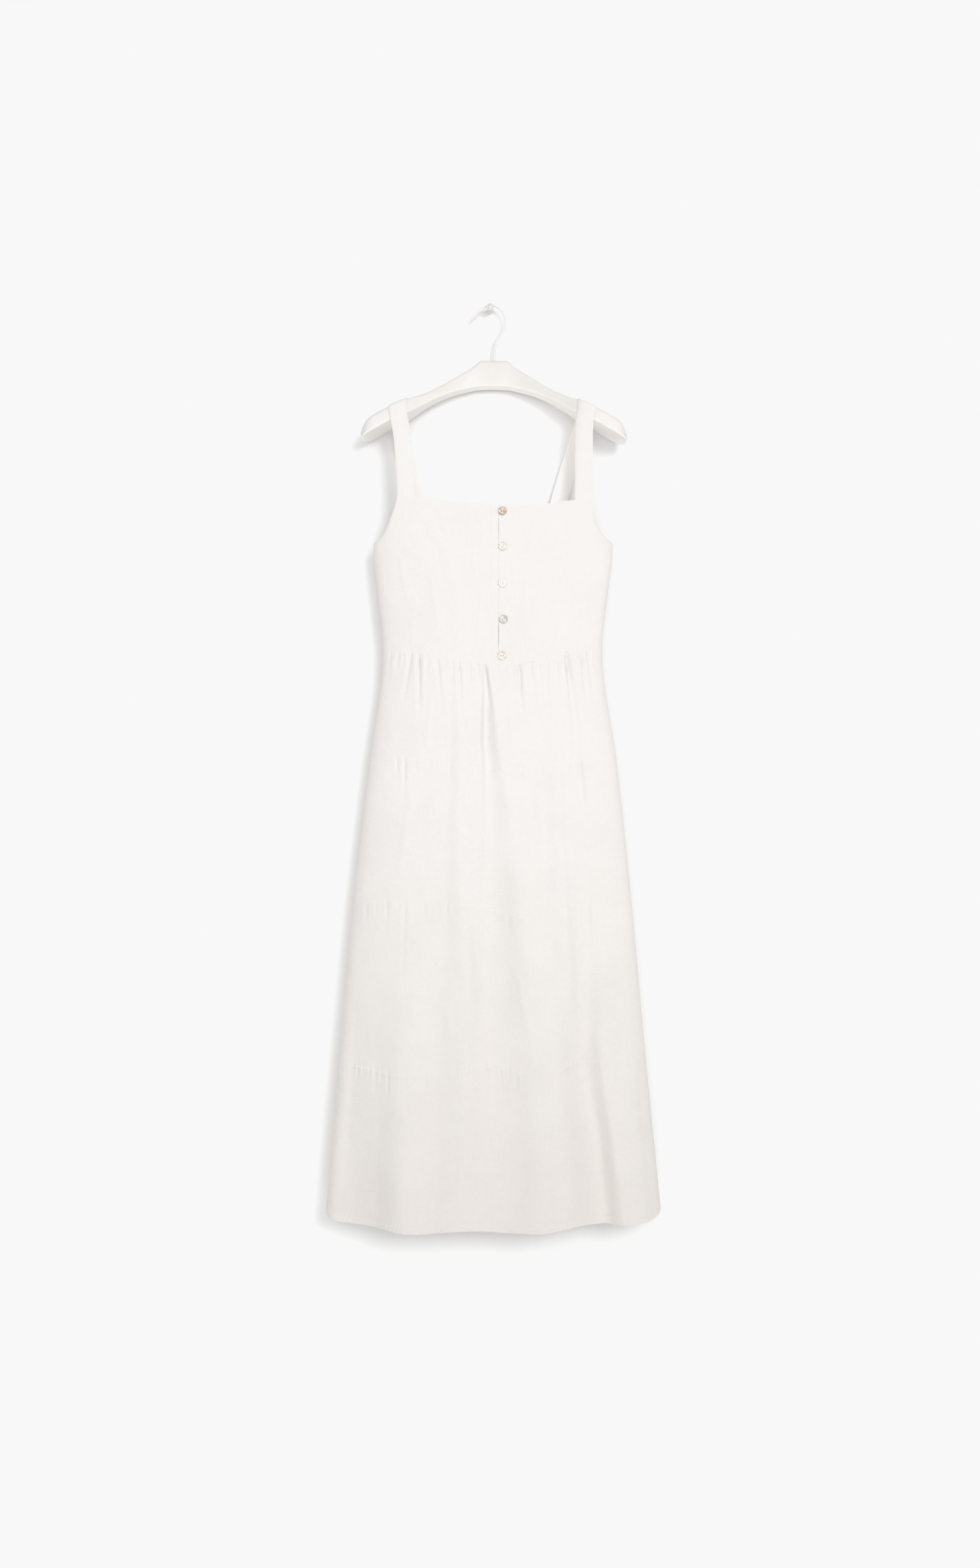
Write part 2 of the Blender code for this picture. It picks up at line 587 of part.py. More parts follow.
def cloth_wall(name, side, grid, squares, wall, finish_material, inset=0.0):
    """A cloth panel from rows of outer points, which move in by the inset: its wall lies inside them."""
    outer = []
    inner = []
    for row, (square_left, square_right) in zip(grid, squares):
        outward = wall_directions(row, side, square_left, square_right)
        outer += [point - direction * inset for point, direction in zip(row, outward)]
        inner += [point - direction * (inset + wall) for point, direction in zip(row, outward)]
    return solid(name, outer + inner, sheet_faces(len(grid), len(grid[0])), finish_material)


# Skirt tiers
def back_gathers(number, left, right):
    """Gathers of a hidden back seam, unevenly spaced and sized by three waves of their own pace."""
    plan = BACK_GATHERS[number]
    made = []
    for k in range(plan.count):
        place = (k + 0.5 + 0.28 * math.sin(2.4 * k + number)) / plan.count
        x = between(left, right, between(BACK_GATHER_MARGIN, 1 - BACK_GATHER_MARGIN, place))
        size = 0.70 + 0.45 * math.sin(1.7 * k + 2.0 * number) ** 2
        length = plan.length * (0.60 + 0.80 * math.sin(1.1 * k + number) ** 2)
        made.append(Gather(x, x * BACK_GATHER_SPREAD, plan.rise * size, plan.reach, length))
    return tuple(made)


def column_places(gathers, down, spacing):
    """Places across a tier's top for the mesh columns: at each gather and its feet, then evenly between."""
    marks = []
    for gather in gathers:
        marks.append((across_at(gather.x_top, down), True))
        marks.append((across_at(gather.x_top - gather.reach, down), False))
        marks.append((across_at(gather.x_top + gather.reach, down), False))
    _, half = middle_and_half(down)
    least = LEAST_COLUMN / half
    centres = sorted(place for place, centre in marks if centre)
    kept = [-1.0, 1.0] + centres
    for place, _ in sorted(mark for mark in marks if not mark[1]):
        if min(abs(place - other) for other in kept) > least:
            kept.append(place)
    kept.sort()
    places = [kept[0]]
    for place in kept[1:]:
        pieces = max(1, math.ceil((place - places[-1]) * half / spacing))
        start = places[-1]
        places += [between(start, place, (k + 1) / pieces) for k in range(pieces)]
    return rounded_ends(places)


def rounded_ends(places):
    """Adds places close to the two sides, where the section turns round."""
    middle = [place for place in places if abs(place) < EVEN_PLACES_END]
    return [-1.0] + [-place for place in SIDE_PLACES] + middle + list(reversed(SIDE_PLACES)) + [1.0]


def leaned(place, gathers, below_seam, top, down):
    """Where a column has moved to across the garment, following the gathers beside it as they lean."""
    nodes = [(-1.0, 0.0)]
    for gather in sorted(gathers, key=lambda g: g.x_top):
        start = across_at(gather.x_top, top)
        run = min(1.0, below_seam / gather.length)
        x = between(gather.x_top, gather.x_end, run)
        shift = across_at(x, min(down, top + gather.length)) - start
        nodes.append((start, shift))
    nodes.append((1.0, 0.0))
    k = next(i for i in range(len(nodes) - 1) if place <= nodes[i + 1][0])
    (a, start), (b, end) = nodes[k], nodes[k + 1]
    return place + between(start, end, (place - a) / (b - a))


def build_tier(number, name, side, top_seam, bottom_seam, finish_material):
    """One tier's front or back: a wall between two seams, gathered at its top."""
    top_level = sum(row.down for row in top_seam) / len(top_seam)
    if side == FRONT:
        gathers = FRONT_GATHERS[number]
        spacing = FRONT_COLUMN
    else:
        gathers = back_gathers(number, read(SECTIONS, "left", top_level), read(SECTIONS, "right", top_level))
        spacing = BACK_COLUMN
    places = column_places(gathers, top_level, spacing)
    grid = []
    for t in TIER_ROWS[number]:
        row = []
        for place in places:
            fall = t * (seam_level(bottom_seam, place) - seam_level(top_seam, place))
            level = seam_level(top_seam, place) + fall
            across = leaned(place, gathers, fall, top_level, level)
            top = seam_level(top_seam, across) + SEAM_GAP / 2
            bottom = seam_level(bottom_seam, across) - SEAM_GAP / 2
            down = between(top, bottom, t)
            middle, half = middle_and_half(down)
            rise = gather_rise(gathers, middle + half * across, down - top)
            row.append(garment_point(side, across, down, rise))
        row[0].y += side * SEAM_GAP / 2
        row[-1].y += side * SEAM_GAP / 2
        grid.append(row)
    squares = [(True, True)] * len(grid)
    cloth_wall(name, side, grid, squares, SKIRT_WALL, finish_material)


def build_skirt(finish_material):
    seams = (WAIST, SEAM_TWO, SEAM_THREE, SEAM_FOUR, HEM)
    for number in range(len(seams) - 1):
        for side, word in ((FRONT, "front"), (BACK, "back")):
            name = f"skirt_tier_{number + 1}_{word}"
            build_tier(number, name, side, seams[number], seams[number + 1], finish_material)


# Bodice
def slit_half_width(down):
    width = SLIT_CLOSED
    for opening in SLIT_OPENINGS:
        distance = abs(down - opening.down) / opening.reach
        if distance < 1:
            width += opening.width * (1 + math.cos(math.pi * distance)) / 2
    return width / 2


def bodice_grid(side, edge_left, edge_right, columns, crowd_left, crowd_right, drop=0.0):
    """Rows of a bodice panel between two edges, each a function of the level that gives a place across."""
    grid = []
    squares = []
    shares = crowded_shares(columns, crowd_left, crowd_right)
    for t in BODICE_ROWS:
        row = []
        for share in shares:
            across = between(edge_left(BODICE_MIDDLE), edge_right(BODICE_MIDDLE), share)
            for _ in range(3):
                top = seam_level(NECKLINE, across) + drop
                bottom = seam_level(WAIST, across) - SEAM_GAP / 2
                down = between(top, bottom, t)
                across = between(edge_left(down), edge_right(down), share)
            row.append(garment_point(side, across, down))
        below = [point.z <= -SIDE_SEAM_TOP for point in (row[0], row[-1])]
        if crowd_left:
            row[0].y += side * SEAM_GAP / 2
        if crowd_right:
            row[-1].y += side * SEAM_GAP / 2
        grid.append(row)
        squares.append((crowd_left and below[0], crowd_right and below[1]))
    return grid, squares


def crowded_shares(columns, at_left, at_right):
    """Even shares from 0 to 1, with more of them close to a side where the section turns round."""
    even = [k / (columns - 1) for k in range(1, columns - 1)]
    left = [0.0] + list(SIDE_SHARES if at_left else ())
    right = [1 - share for share in reversed(SIDE_SHARES if at_right else ())] + [1.0]
    return left + even + right


def build_bodice(finish_material):
    def left_of_slit(down):
        return across_at(SLIT_X - slit_half_width(down), down)

    def right_of_slit(down):
        return across_at(SLIT_X + slit_half_width(down), down)

    def left_side(_):
        return -1.0

    def right_side(_):
        return 1.0

    panels = (
        ("bodice_front_left", FRONT, left_side, left_of_slit, SIDE_COLUMNS, True, False),
        ("bodice_front_right", FRONT, right_of_slit, right_side, SIDE_COLUMNS, False, True),
        ("bodice_back", BACK, left_side, right_side, BACK_COLUMNS, True, True),
    )
    for name, side, edge_left, edge_right, columns, crowd_left, crowd_right in panels:
        grid, squares = bodice_grid(side, edge_left, edge_right, columns, crowd_left, crowd_right)
        cloth_wall(name, side, grid, squares, BODICE_WALL, finish_material)


def build_button_stand(finish_material):
    """The strip behind the front slit that the buttons are sewn through."""
    def stand_left(down):
        return across_at(STAND_LEFT, down)

    def stand_right(down):
        return across_at(STAND_RIGHT, down)

    grid, squares = bodice_grid(
        FRONT, stand_left, stand_right, STAND_COLUMNS, False, False, drop=STAND_INSET
    )
    inset = BODICE_WALL + SEAM_GAP
    cloth_wall("button_stand", FRONT, grid, squares, SKIRT_WALL, finish_material, inset)


# Buttons
def button_mesh(finish_material):
    """A flat button with a raised rim and two holes, its back on the plane z = 0."""
    profile = (
        (0.0, 0.0), (BUTTON_RADIUS - BUTTON_EDGE, 0.0), (BUTTON_RADIUS, BUTTON_THICK / 2),
        (BUTTON_RADIUS - BUTTON_EDGE / 2, BUTTON_THICK), (BUTTON_RADIUS - BUTTON_RIM, BUTTON_THICK),
        (BUTTON_DISH_RADIUS, BUTTON_THICK - BUTTON_DISH), (0.0, BUTTON_THICK - BUTTON_DISH),
    )
    body = turned("button_blank", profile, BUTTON_SIDES, finish_material)
    cutters = []
    for step in (-1, 1):
        bpy.ops.mesh.primitive_cylinder_add(
            vertices=HOLE_SIDES, radius=BUTTON_HOLE_RADIUS, depth=BUTTON_THICK * 4,
            location=(step * BUTTON_HOLE_PITCH / 2, 0.0, 0.0),
        )
        cutter = bpy.context.object
        cut = body.modifiers.new("hole", "BOOLEAN")
        cut.operation = "DIFFERENCE"
        cut.object = cutter
        cutters.append(cutter)
    shape = body.evaluated_get(bpy.context.evaluated_depsgraph_get())
    mesh = bpy.data.meshes.new_from_object(shape)
    for helper in cutters + [body]:
        bpy.data.objects.remove(helper)
    return mesh


def turned(name, profile, sides, finish_material):
    """A solid turned round Z from a profile of radius and height whose ends may lie on the axis."""
    points = []
    rings = []
    for radius, height in profile:
        if radius == 0.0:
            rings.append([len(points)])
            points.append((0.0, 0.0, height))
            continue
        rings.append(list(range(len(points), len(points) + sides)))
        for k in range(sides):
            angle = 2 * math.pi * k / sides
            points.append((radius * math.cos(angle), radius * math.sin(angle), height))
    faces = []
    for low, high in zip(rings, rings[1:]):
        for k in range(sides):
            n = (k + 1) % sides
            if len(low) == 1:
                faces.append((low[0], high[n], high[k]))
            elif len(high) == 1:
                faces.append((low[k], low[n], high[0]))
            else:
                faces.append((low[k], low[n], high[n], high[k]))
    if len(rings[0]) > 1:
        faces.append(tuple(reversed(rings[0])))
    if len(rings[-1]) > 1:
        faces.append(tuple(rings[-1]))
    return solid(name, points, faces, finish_material)


def build_buttons(finish_material):
    shared = button_mesh(finish_material)
    for number, button in enumerate(BUTTONS, start=1):
        across = across_at(button.x, button.down)
        seat = garment_point(FRONT, across, button.down)
        made = bpy.data.objects.new(f"button_{number}", shared)
        bpy.context.scene.collection.objects.link(made)
        face_out = Matrix.Rotation(math.pi / 2, 4, "X")
        turn = Matrix.Rotation(button.turn, 4, "Z")
        made.matrix_world = Matrix.Translation(seat + Vector((0, -SEAM_GAP, 0))) @ face_out @ turn


# Hanger, hook and peg
def hanger_section(x):
    """Top, bottom, front and back of the hanger at x, as coordinates, with its two corner radii."""
    out = abs(x - HANGER_X)
    tilt = math.tan(HANGER_TILT) * (x - HANGER_X)
    top = -(read(HANGER, "top", out) + tilt)
    bottom = -(read(HANGER, "bottom", out) + tilt)
    front = -read(HANGER, "front", out)
    back = -read(HANGER, "back", out)
    most = ROUND_SHARE * min(top - bottom, back - front)
    return top, bottom, front, back, min(HANGER_TOP_ROUND, most), min(HANGER_BOTTOM_ROUND, most)


def corner(y, z, radius, start):
    """Points of a quarter circle in the plane of y and z, from the start angle on."""
    angles = [start + math.pi / 2 * k / CORNER_STEPS for k in range(CORNER_STEPS + 1)]
    return [(y + radius * math.cos(angle), z + radius * math.sin(angle)) for angle in angles]


def hanger_outline(x):
    top, bottom, front, back, high, low = hanger_section(x)
    outline = corner(back - high, top - high, high, 0.0)
    outline += corner(front + high, top - high, high, math.pi / 2)
    outline += corner(front + low, bottom + low, low, math.pi)
    outline += corner(back - low, bottom + low, low, 3 * math.pi / 2)
    return [Vector((x, y, z)) for y, z in outline]


def loft(name, rings, finish_material):
    """A closed solid through rings of equally many points."""
    sides = len(rings[0])
    points = [point for ring in rings for point in ring]
    faces = []
    for r in range(len(rings) - 1):
        for k in range(sides):
            n = (k + 1) % sides
            low = r * sides
            faces.append((low + k, low + n, low + sides + n, low + sides + k))
    faces.append(tuple(range(sides)))
    faces.append(tuple(range((len(rings) - 1) * sides, len(rings) * sides)))
    return solid(name, points, faces, finish_material)


def build_hanger(finish_material):
    places = [HANGER_X - step for step in reversed(HANGER_STEPS[1:])]
    places += [HANGER_X + step for step in HANGER_STEPS]
    loft("hanger_body", [hanger_outline(x) for x in places], finish_material)


def smooth_line(points, steps):
    """Points along a smooth curve through the given points."""
    made = []
    for k in range(len(points) - 1):
        before = points[max(k - 1, 0)]
        start, end = points[k], points[k + 1]
        after = points[min(k + 2, len(points) - 1)]
        for step in range(steps):
            t = step / steps
            made.append(
                start + (end - before) * (t / 2)
                + (before * 2 - start * 5 + end * 4 - after) * (t * t / 2)
                + (start * 3 - before - end * 3 + after) * (t ** 3 / 2)
            )
    return made + [points[-1]]


def build_hook(finish_material):
    """A round wire bent in one plane, from the top of the wood over the peg to its rounded tip."""
    line = smooth_line([Vector((row.x, -HOOK_OUT, -row.down)) for row in HOOK_LINE], HOOK_STEPS)
    rings = []
    for k, point in enumerate(line):
        along = (line[min(k + 1, len(line) - 1)] - line[max(k - 1, 0)]).normalized()
        beside = Vector((along.z, 0.0, -along.x))
        radius = HOOK_RADIUS * (0.6 if k == len(line) - 1 else 1.0)
        ring = []
        for side in range(HOOK_SIDES):
            angle = 2 * math.pi * side / HOOK_SIDES
            ring.append(point + (beside * math.cos(angle) + Vector((0, 1, 0)) * math.sin(angle)) * radius)
        rings.append(ring)
    loft("hanger_hook", rings, finish_material)


def build_peg(finish_material):
    peg = turned("wall_peg", [(turn.radius, turn.out) for turn in PEG], PEG_SIDES, finish_material)
    peg.rotation_euler = (math.pi / 2, 0.0, 0.0)


# Straps
def strap_side(path, side, offset, lift, shoulder, wood):
    """Points up one side of a strap, from its seam with the bodice to just below the hanger's shoulder."""
    x = path[-1].x + offset
    foot = path[-1].down
    for _ in range(4):
        foot = seam_level(NECKLINE, across_at(x, foot))
    foot -= SEAM_GAP
    cloth = garment_point(side, across_at(x, foot), foot).y - side * (BODICE_WALL - lift)
    points = [Vector((x, cloth, -foot))]
    for rise in STRAP_RISES:
        down = between(foot, shoulder, rise)
        points.append(Vector((read(path, "x", down) + offset, between(cloth, wood, rise), -down)))
    return points


def strap_column(strap, offset, lift):
    """One line along a strap, front seam to back seam over the hanger, at a lift off its inner face."""
    x_top = strap.top_x + offset
    top, _, front, back, high, _ = hanger_section(x_top)
    off_wood = SEAM_GAP + lift
    shoulder = high - top
    rounded = corner(back - high, -shoulder, high + off_wood, 0.0)
    rounded += corner(front + high, -shoulder, high + off_wood, math.pi / 2)
    over = [Vector((x_top, y, z)) for y, z in reversed(rounded)]
    up = strap_side(strap.front, FRONT, offset, lift, shoulder, front - off_wood)
    down = strap_side(strap.back, BACK, offset, lift, shoulder, back + off_wood)
    return up + over + list(reversed(down))


def build_straps(finish_material):
    for strap in STRAPS:
        offsets = [STRAP_WIDTH / 2 * share for share in STRAP_ACROSS]
        outer = [strap_column(strap, offset, STRAP_WALL) for offset in offsets]
        inner = [strap_column(strap, offset, 0.0) for offset in offsets]
        points = [point for rows in (zip(*outer), zip(*inner)) for row in rows for point in row]
        faces = sheet_faces(len(outer[0]), len(offsets))
        solid(strap.name, points, faces, finish_material)


def main():
    for old in list(bpy.data.objects):
        bpy.data.objects.remove(old)
    linen = material("linen", LINEN)
    build_bodice(linen)
    build_button_stand(linen)
    build_straps(linen)
    build_skirt(linen)
    build_buttons(material("pearl", PEARL))
    build_hanger(material("painted_wood", PAINTED_WOOD))
    build_hook(material("white_wire", WHITE_WIRE))
    build_peg(material("peg_metal", PEG_METAL))


main()
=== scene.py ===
"""Looks of the linen dress on its hanger: fine cloth, sewing, buttons, paint, wall, light and camera.

World frame: metres, +Z up, +X to the viewer's right, the wall on the plane y = 0 and the dress facing -Y,
with the origin at the centre of the wall peg's back face. In the tables, "down" is the distance below that
origin, and "front", "back" and "side" are distances out from the wall. The tables have the sizes of the
solids, but for some folds, gathers and the hanger's ends, which are refined here by a few millimetres.
"""

import math
from collections import namedtuple

import bpy
import numpy as np
from mathutils import Matrix, Vector


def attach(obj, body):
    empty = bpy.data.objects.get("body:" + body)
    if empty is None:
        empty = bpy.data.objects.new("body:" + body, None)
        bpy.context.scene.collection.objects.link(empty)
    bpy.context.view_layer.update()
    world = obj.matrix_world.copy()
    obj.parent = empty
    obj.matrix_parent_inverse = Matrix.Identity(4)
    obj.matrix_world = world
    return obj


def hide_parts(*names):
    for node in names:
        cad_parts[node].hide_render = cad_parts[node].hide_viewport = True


BODY = "root"
FRONT = -1
BACK = 1

# Cloth
BODICE_THICK = 0.0012
SKIRT_THICK = 0.0009
STRAP_THICK = 0.0018
SEAM_GAP = 0.0003
FINE_COLUMN = 0.0016
COARSE_COLUMN = 0.0030
FINE_ROW = 0.0026
COARSE_ROW = 0.0050
FITTING_ROUNDS = 4
NEAR_SIDE = 0.99999
EDGE_ROWS = (0.0, 0.0005, 0.0010, 0.0016, 0.0023, 0.0031, 0.0040, 0.0052, 0.0068, 0.0088, 0.0112)
SIDE_PLACES = (
    1e-6, 1e-5, 5e-5, 0.00015, 0.0004, 0.0009, 0.0018, 0.0032, 0.0052, 0.008, 0.012, 0.017, 0.023, 0.030,
    0.038, 0.047, 0.057,
)

# Garment sections: a flattened tube at each level
Section = namedtuple("Section", "down left right front back side_front side_back squareness")
SECTIONS = (
    Section(0.310, -0.1424, 0.1580, 0.0740, 0.0122, 0.0735, 0.0126, 3.2),
    Section(0.328, -0.1476, 0.1580, 0.0742, 0.0122, 0.0720, 0.0138, 3.2),
    Section(0.344, -0.1543, 0.1597, 0.0745, 0.0122, 0.0690, 0.0160, 3.2),
    Section(0.359, -0.1610, 0.1685, 0.0748, 0.0122, 0.0640, 0.0200, 3.2),
    Section(0.370, -0.1693, 0.1780, 0.0750, 0.0122, 0.0570, 0.0270, 3.2),
    Section(0.381, -0.1820, 0.1920, 0.0752, 0.0122, 0.0430, 0.0430, 3.2),
    Section(0.460, -0.1745, 0.1836, 0.0755, 0.0122, 0.0430, 0.0430, 3.2),
    Section(0.545, -0.1665, 0.1751, 0.0745, 0.0122, 0.0430, 0.0430, 3.1),
    Section(0.716, -0.1862, 0.1973, 0.0810, 0.0122, 0.0455, 0.0455, 2.9),
    Section(0.937, -0.2119, 0.2205, 0.0905, 0.0125, 0.0490, 0.0490, 2.7),
    Section(1.180, -0.2335, 0.2422, 0.0985, 0.0130, 0.0540, 0.0540, 2.6),
    Section(1.430, -0.2563, 0.2667, 0.1060, 0.0140, 0.0590, 0.0590, 2.6),
)

# Seams and edges that run round the garment: x along the front, and how far down the seam lies there
Seam = namedtuple("Seam", "x down")
NECKLINE = (
    Seam(-0.1424, 0.3107), Seam(-0.1150, 0.3115), Seam(-0.0650, 0.3171), Seam(-0.0070, 0.3221),
    Seam(0.0220, 0.3242), Seam(0.0760, 0.3231), Seam(0.1190, 0.3171), Seam(0.1580, 0.3147),
)
WAIST = (
    Seam(-0.1665, 0.5465), Seam(-0.1200, 0.5535), Seam(-0.0600, 0.5650), Seam(0.0000, 0.5708),
    Seam(0.0400, 0.5710), Seam(0.0800, 0.5610), Seam(0.1250, 0.5503), Seam(0.1751, 0.5421),
)
SEAM_TWO = (
    Seam(-0.1862, 0.7151), Seam(-0.1400, 0.7138), Seam(-0.0900, 0.7180), Seam(-0.0300, 0.7265),
    Seam(0.0180, 0.7318), Seam(0.0600, 0.7255), Seam(0.1150, 0.7177), Seam(0.1973, 0.7172),
)
SEAM_THREE = (
    Seam(-0.2119, 0.9372), Seam(-0.1600, 0.9352), Seam(-0.0900, 0.9383), Seam(-0.0380, 0.9392),
    Seam(0.0000, 0.9460), Seam(0.0420, 0.9532), Seam(0.0850, 0.9455), Seam(0.1250, 0.9395),
    Seam(0.1600, 0.9348), Seam(0.2205, 0.9345),
)
SEAM_FOUR = (
    Seam(-0.2335, 1.1843), Seam(-0.2000, 1.1880), Seam(-0.1530, 1.1953), Seam(-0.1060, 1.1982),
    Seam(-0.0540, 1.1902), Seam(-0.0120, 1.1858), Seam(0.0270, 1.1898), Seam(0.0680, 1.1947),
    Seam(0.0980, 1.1905), Seam(0.1370, 1.1790), Seam(0.1670, 1.1778), Seam(0.2422, 1.1754),
)
HEM = (
    Seam(-0.2563, 1.4310), Seam(-0.1840, 1.4317), Seam(-0.1030, 1.4370), Seam(-0.0400, 1.4330),
    Seam(0.0340, 1.4370), Seam(0.0700, 1.4368), Seam(0.1330, 1.4275), Seam(0.1700, 1.4288),
    Seam(0.2667, 1.4275),
)
SEAMS = (WAIST, SEAM_TWO, SEAM_THREE, SEAM_FOUR, HEM)
LAST_TIER = len(SEAMS) - 2
HEM_SIDE_LIFT = 0.025
HEM_SIDE_LIFT_POWER = 2.2

# Long folds: rise is how far the cloth stands out of its flat section, left and right are its reach
Fold = namedtuple("Fold", "down x rise left right")
FRONT_FOLDS = (
    (  # centre valley, from the waist to the hem: a short slope on the left and a long one on the right
        Fold(0.569, -0.011, 0.0000, 0.006, 0.008),
        Fold(0.582, -0.010, -0.0040, 0.006, 0.009),
        Fold(0.620, -0.007, -0.0065, 0.007, 0.014),
        Fold(0.680, -0.007, -0.0090, 0.010, 0.021),
        Fold(0.730, -0.003, -0.0078, 0.013, 0.024),
        Fold(0.800, 0.000, -0.0072, 0.020, 0.034),
        Fold(0.940, 0.001, -0.0088, 0.034, 0.048),
        Fold(1.060, 0.002, -0.0108, 0.040, 0.060),
        Fold(1.190, 0.006, -0.0108, 0.048, 0.064),
        Fold(1.320, 0.016, -0.0076, 0.062, 0.062),
        Fold(1.445, 0.016, -0.0050, 0.065, 0.066),
    ),
    (  # deep valley on the right
        Fold(0.550, 0.118, 0.0000, 0.006, 0.008),
        Fold(0.564, 0.120, -0.0020, 0.007, 0.008),
        Fold(0.610, 0.126, -0.0035, 0.008, 0.010),
        Fold(0.715, 0.134, -0.0018, 0.014, 0.014),
        Fold(0.870, 0.142, -0.0036, 0.026, 0.024),
        Fold(0.950, 0.144, -0.0050, 0.030, 0.026),
        Fold(1.080, 0.147, -0.0082, 0.040, 0.030),
        Fold(1.180, 0.149, -0.0135, 0.060, 0.026),
        Fold(1.300, 0.166, -0.0160, 0.066, 0.025),
        Fold(1.445, 0.180, -0.0180, 0.074, 0.028),
    ),
    (  # broad ridge on the left
        Fold(0.960, -0.108, 0.0000, 0.045, 0.045),
        Fold(1.190, -0.130, 0.0050, 0.045, 0.050),
        Fold(1.445, -0.132, 0.0085, 0.048, 0.056),
    ),
    (  # the left side falls back
        Fold(0.960, -0.190, 0.0000, 0.040, 0.040),
        Fold(1.100, -0.200, -0.0028, 0.045, 0.066),
        Fold(1.200, -0.207, -0.0065, 0.048, 0.068),
        Fold(1.320, -0.210, -0.0102, 0.050, 0.074),
        Fold(1.445, -0.206, -0.0120, 0.055, 0.078),
    ),
    (  # low ridge left of the centre valley
        Fold(0.950, -0.052, 0.0000, 0.026, 0.026),
        Fold(1.050, -0.046, 0.0026, 0.030, 0.028),
        Fold(1.250, -0.044, 0.0034, 0.042, 0.036),
        Fold(1.445, -0.050, 0.0018, 0.044, 0.040),
    ),
    (  # broad ridge right of the centre
        Fold(0.800, 0.060, 0.0000, 0.035, 0.035),
        Fold(0.950, 0.055, 0.0030, 0.040, 0.040),
        Fold(1.190, 0.094, 0.0045, 0.060, 0.052),
        Fold(1.445, 0.112, 0.0060, 0.090, 0.066),
    ),
    (  # ridge near the right side
        Fold(0.980, 0.215, 0.0000, 0.025, 0.020),
        Fold(1.180, 0.212, 0.0030, 0.040, 0.030),
        Fold(1.445, 0.234, 0.0052, 0.050, 0.030),
    ),
    (  # thin ridge left of the centre
        Fold(0.572, -0.052, 0.0006, 0.010, 0.007),
        Fold(0.725, -0.046, 0.0022, 0.018, 0.010),
        Fold(0.870, -0.047, 0.0036, 0.024, 0.014),
        Fold(0.960, -0.042, 0.0036, 0.028, 0.017),
        Fold(1.120, -0.020, 0.0000, 0.028, 0.016),
    ),
    (  # soft ridge right of the centre
        Fold(0.570, 0.094, 0.0000, 0.016, 0.010),
        Fold(0.700, 0.103, 0.0014, 0.022, 0.011),
        Fold(0.810, 0.106, 0.0030, 0.026, 0.013),
        Fold(0.940, 0.112, 0.0032, 0.030, 0.015),
        Fold(1.160, 0.128, 0.0000, 0.030, 0.018),
    ),
    (  # soft crease from the left strap down the bodice
        Fold(0.325, -0.112, 0.0000, 0.014, 0.012),
        Fold(0.399, -0.068, 0.0010, 0.016, 0.013),
        Fold(0.463, -0.053, 0.0012, 0.018, 0.013),
        Fold(0.545, -0.047, 0.0000, 0.016, 0.012),
    ),
    (  # soft crease over the right of the bodice
        Fold(0.440, 0.080, 0.0000, 0.016, 0.014),
        Fold(0.490, 0.090, -0.0010, 0.016, 0.014),
        Fold(0.540, 0.096, 0.0000, 0.016, 0.014),
    ),
)
BACK_FOLDS = (
    (Fold(0.600, -0.120, 0.0000, 0.030, 0.030), Fold(1.000, -0.135, -0.0060, 0.040, 0.040),
     Fold(1.445, -0.150, -0.0090, 0.045, 0.045)),
    (Fold(0.580, -0.045, 0.0000, 0.020, 0.020), Fold(1.000, -0.055, 0.0040, 0.035, 0.035),
     Fold(1.445, -0.062, 0.0060, 0.045, 0.045)),
    (Fold(0.575, 0.020, 0.0000, 0.015, 0.015), Fold(0.900, 0.024, -0.0070, 0.035, 0.035),
     Fold(1.445, 0.030, -0.0120, 0.045, 0.045)),
    (Fold(0.620, 0.100, 0.0000, 0.030, 0.030), Fold(1.000, 0.110, 0.0040, 0.040, 0.040),
     Fold(1.445, 0.122, 0.0060, 0.045, 0.045)),
    (Fold(0.700, 0.170, 0.0000, 0.020, 0.020), Fold(1.445, 0.205, -0.0060, 0.030, 0.030)),
)
FOLD_SIDE_FADE = 0.10

# Gathers below a seam: each starts at x_top on the seam and dies out at x_end, "length" below it
Gather = namedtuple("Gather", "x_top x_end rise reach length")
FRONT_WAIST_GATHERS = (
    Gather(-0.154, -0.160, -0.0017, 0.0045, 0.055),
    Gather(-0.141, -0.147, -0.0013, 0.0040, 0.035),
    Gather(-0.122, -0.134, -0.0026, 0.0050, 0.080),
    Gather(-0.110, -0.109, -0.0047, 0.0055, 0.100),
    Gather(-0.096, -0.097, -0.0013, 0.0040, 0.035),
    Gather(-0.081, -0.074, -0.0026, 0.0050, 0.085),
    Gather(-0.068, -0.067, -0.0013, 0.0035, 0.025),
    Gather(-0.058, -0.057, -0.0013, 0.0030, 0.018),
    Gather(-0.048, -0.043, -0.0034, 0.0045, 0.110),
    Gather(-0.033, -0.030, -0.0013, 0.0035, 0.040),
    Gather(-0.020, -0.011, -0.0026, 0.0045, 0.055),
    Gather(-0.008, 0.001, -0.0039, 0.0050, 0.080),
    Gather(0.012, 0.013, -0.0010, 0.0035, 0.030),
    Gather(0.024, 0.026, -0.0010, 0.0035, 0.028),
    Gather(0.035, 0.037, -0.0013, 0.0040, 0.035),
    Gather(0.045, 0.051, -0.0047, 0.0048, 0.090),
    Gather(0.062, 0.069, -0.0024, 0.0045, 0.070),
    Gather(0.074, 0.080, -0.0015, 0.0040, 0.050),
    Gather(0.087, 0.091, -0.0022, 0.0050, 0.110),
    Gather(0.103, 0.106, -0.0022, 0.0045, 0.060),
    Gather(0.118, 0.126, -0.0039, 0.0050, 0.090),
    Gather(0.132, 0.138, -0.0017, 0.0040, 0.060),
    Gather(0.141, 0.151, -0.0030, 0.0040, 0.110),
    Gather(0.150, 0.164, -0.0026, 0.0040, 0.095),
)
